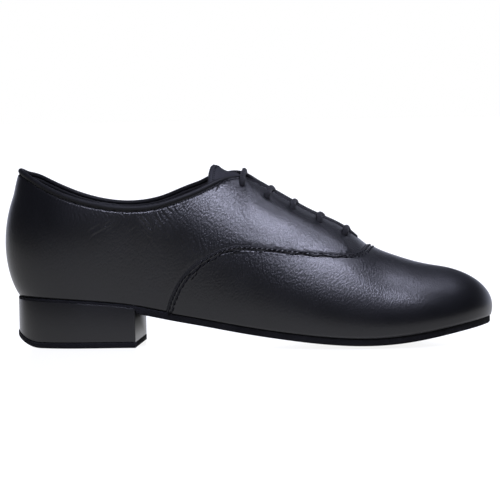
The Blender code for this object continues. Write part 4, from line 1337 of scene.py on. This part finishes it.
bpy.context.view_layer.update()
quarterTree = surfaceOf(*quarters.values())
vampTree, liningTree, tongueTree = (surfaceOf(p) for p in (vampPiece, innerSkin, tonguePiece))
stitchRow("collarStitches", [collarStitchLine[side] for side in (-1, 1)], quarterTree,
          quarter["stitchPitch"], quarter["stitchLength"], stitching["collar"])
for number, rows in enumerate(vampRows):
    above = [steadied(rows[side] + stitching["reach"] * skinNormal(*seamEdge[side][:2]))
             for side in rows]
    stitchRow(f"vampStitches{number + 1}", above, vampTree, vamp["stitchPitch"],
              vamp["stitchLength"], stitching["vamp"])


def liningRow(side, distance):
    where, heights, _ = topEdge[side]
    keep = slice(0, stitching["lining"]["points"])
    line = setIn(topEdge[side], distance)[keep]
    return line - skinNormal(where[keep], heights[keep]) * stitching["lining"]["depth"]


def tongueRow(distance):
    look = stitching["tongue"]
    first = placeAt(shoe["tongueTop"], column=2) + distance
    low = reachDown(np.array([first]), [tongue["halfWidth"] - look["inset"]])[0]
    climb = np.linspace(low, 1.0, look["points"])
    halves = [skinPoint(np.full(len(climb), sided(first, side)), climb) for side in (-1, 1)]
    return np.vstack([halves[0], halves[1][-2::-1]])


for name, surface in (("lining", liningTree), ("tongue", tongueTree)):
    look = stitching[name]
    for number, distance in enumerate(look["rows"]):
        rows = ([liningRow(side, distance) for side in (-1, 1)] if name == "lining"
                else [tongueRow(distance)])
        stitchRow(f"{name}Stitches{number + 1}", rows, surface, look["pitch"], look["length"],
                  look)
print("stitches made")

# floor, lights and camera

studio = {
    "floor": (0.16, 0.16, 0.16), "floorGlow": 0.88, "floorMirrored": 0.65,
    "floorRoughness": 0.25, "floorReach": 6.0,
    "room": (0.76, 0.80, 1.0), "roomLight": 0.06, "backdropLight": 1.1,
    "backdropFrom": (0.45, 0.85), "backdropTop": (0.55, 0.05), "aim": (0.1, 0.0, 0.05),
    "light": (0.75, 0.77, 1.0),
}

floorMesh = bpy.data.meshes.new("floor")
corners = [(x * studio["floorReach"], y * studio["floorReach"], 0)
           for x, y in ((-1, -1), (1, -1), (1, 1), (-1, 1))]
floorMesh.from_pydata(corners, [], [(0, 1, 2, 3)])
floor = bpy.data.objects.new("floor", floorMesh)
bpy.context.scene.collection.objects.link(floor)
floorFinish, tree, shader = newFinish("floorFinish", {
    "Base Color": (*studio["floor"], 1), "Roughness": studio["floorRoughness"],
    "Emission Color": (1, 1, 1, 1),
})
# the camera sees a white floor, and the leather a greyer one
seen = newNode(tree, "ShaderNodeLightPath").outputs["Is Camera Ray"]
glow = mathNode(tree, "MULTIPLY_ADD", seen, studio["floorGlow"] - studio["floorMirrored"],
                studio["floorMirrored"])
tree.links.new(glow, shader.inputs["Emission Strength"])
floorMesh.materials.append(floorFinish)


def makeRoom():
    # a dim room with a white backdrop behind; what the camera sees past the floor is white
    world = bpy.data.worlds.new("studio")
    world.use_nodes = True
    tree = world.node_tree
    tree.nodes.clear()
    way = newNode(tree, "ShaderNodeTexCoord").outputs["Generated"]
    axes = newNode(tree, "ShaderNodeSeparateXYZ", {0: way}).outputs

    def share(axis, low, high):
        return newNode(tree, "ShaderNodeMapRange", {
            "Value": axes[axis], "From Min": low, "From Max": high,
        }, interpolation_type="SMOOTHSTEP").outputs[0]

    backdrop = mathNode(tree, "MULTIPLY", share("Y", *studio["backdropFrom"]),
                        share("Z", *studio["backdropTop"]))
    level = mathNode(tree, "MULTIPLY_ADD", backdrop, studio["backdropLight"], studio["roomLight"])
    room = newNode(tree, "ShaderNodeBackground", {"Color": (*studio["room"], 1), "Strength": level})
    white = newNode(tree, "ShaderNodeBackground", {"Color": (1, 1, 1, 1)})
    seen = newNode(tree, "ShaderNodeLightPath").outputs["Is Camera Ray"]
    pick = newNode(tree, "ShaderNodeMixShader", {0: seen, 1: room.outputs[0], 2: white.outputs[0]})
    newNode(tree, "ShaderNodeOutputWorld", {"Surface": pick.outputs[0]})
    bpy.context.scene.world = world


makeRoom()


def softLight(name, turn, rise, distance, size, radiance, tilt):
    # turn 0 is the camera's side, 90 the toe's; sizes in metres
    turn, rise = math.radians(turn), math.radians(rise)
    way = Vector((math.sin(turn) * math.cos(rise), -math.cos(turn) * math.cos(rise),
                  math.sin(rise)))
    light = bpy.data.lights.new(name, "AREA")
    light.shape = "RECTANGLE"
    light.size, light.size_y = size
    light.energy = radiance * math.pi * size[0] * size[1]
    light.color = studio["light"]
    made = bpy.data.objects.new(name, light)
    bpy.context.scene.collection.objects.link(made)
    made.location = Vector(studio["aim"]) + way * distance
    made.rotation_mode = "QUATERNION"
    made.rotation_quaternion = (way.to_track_quat("Z", "Y")
                                @ Quaternion((0, 0, 1), math.radians(tilt)))


lights = [  # name, turn, rise, distance, size, radiance, tilt
    ("keyLight", 12.6, 56.8, 0.45, (0.43, 0.06), 44.0, 25),
    ("topLight", 150, 66, 1.2, (0.8, 0.35), 1.2, 0),
    ("toeLight", 102, 63, 0.45, (0.28, 0.07), 7.5, -20),
]
for light in lights:
    softLight(*light)

camera = {
    "distance": 1.8, "turn": 5.0, "rise": 3.7, "roll": 1.0, "metresPerPixel": 0.000598,
    "image": 500.0, "sensor": 36.0, "clipEnd": 50.0,
    "backAt": (6.7, 243.0), "footAt": (90.0, 348.5), "footSide": -0.030,
}


def setCamera():
    turn, rise, roll = (math.radians(camera[k]) for k in ("turn", "rise", "roll"))
    back = np.array([math.sin(turn) * math.cos(rise), -math.cos(turn) * math.cos(rise),
                     math.sin(rise)])
    right = unit(np.cross(-back, [0, 0, 1]))
    up = np.cross(right, -back)
    x = right * math.cos(roll) - up * math.sin(roll)
    y = right * math.sin(roll) + up * math.cos(roll)
    focal = camera["distance"] / camera["metresPerPixel"]
    middle = camera["image"] / 2
    eye = back * camera["distance"]

    def onPlane(px, py, plane):
        way = unit(-back * focal + x * (px - middle) + y * (middle - py))
        return eye + way * (plane - eye[1]) / way[1]

    # the heel's foot and its back in the picture fix where the shoe stands
    shift = np.array([onPlane(*camera["backAt"], 0)[0] + shoe["originFromBack"], 0,
                      onPlane(*camera["footAt"], camera["footSide"])[2]])
    lens = bpy.data.cameras.new("camera")
    lens.sensor_width = camera["sensor"]
    lens.lens = camera["sensor"] * focal / camera["image"]
    lens.clip_end = camera["clipEnd"]
    made = bpy.data.objects.new("camera", lens)
    bpy.context.scene.collection.objects.link(made)
    columns = np.column_stack([x, y, back, eye - shift])
    made.matrix_world = Matrix([*map(list, columns), [0, 0, 0, 1]])
    bpy.context.scene.camera = made


setCamera()
bpy.context.scene.view_settings.view_transform = "Standard"
print("studio made")
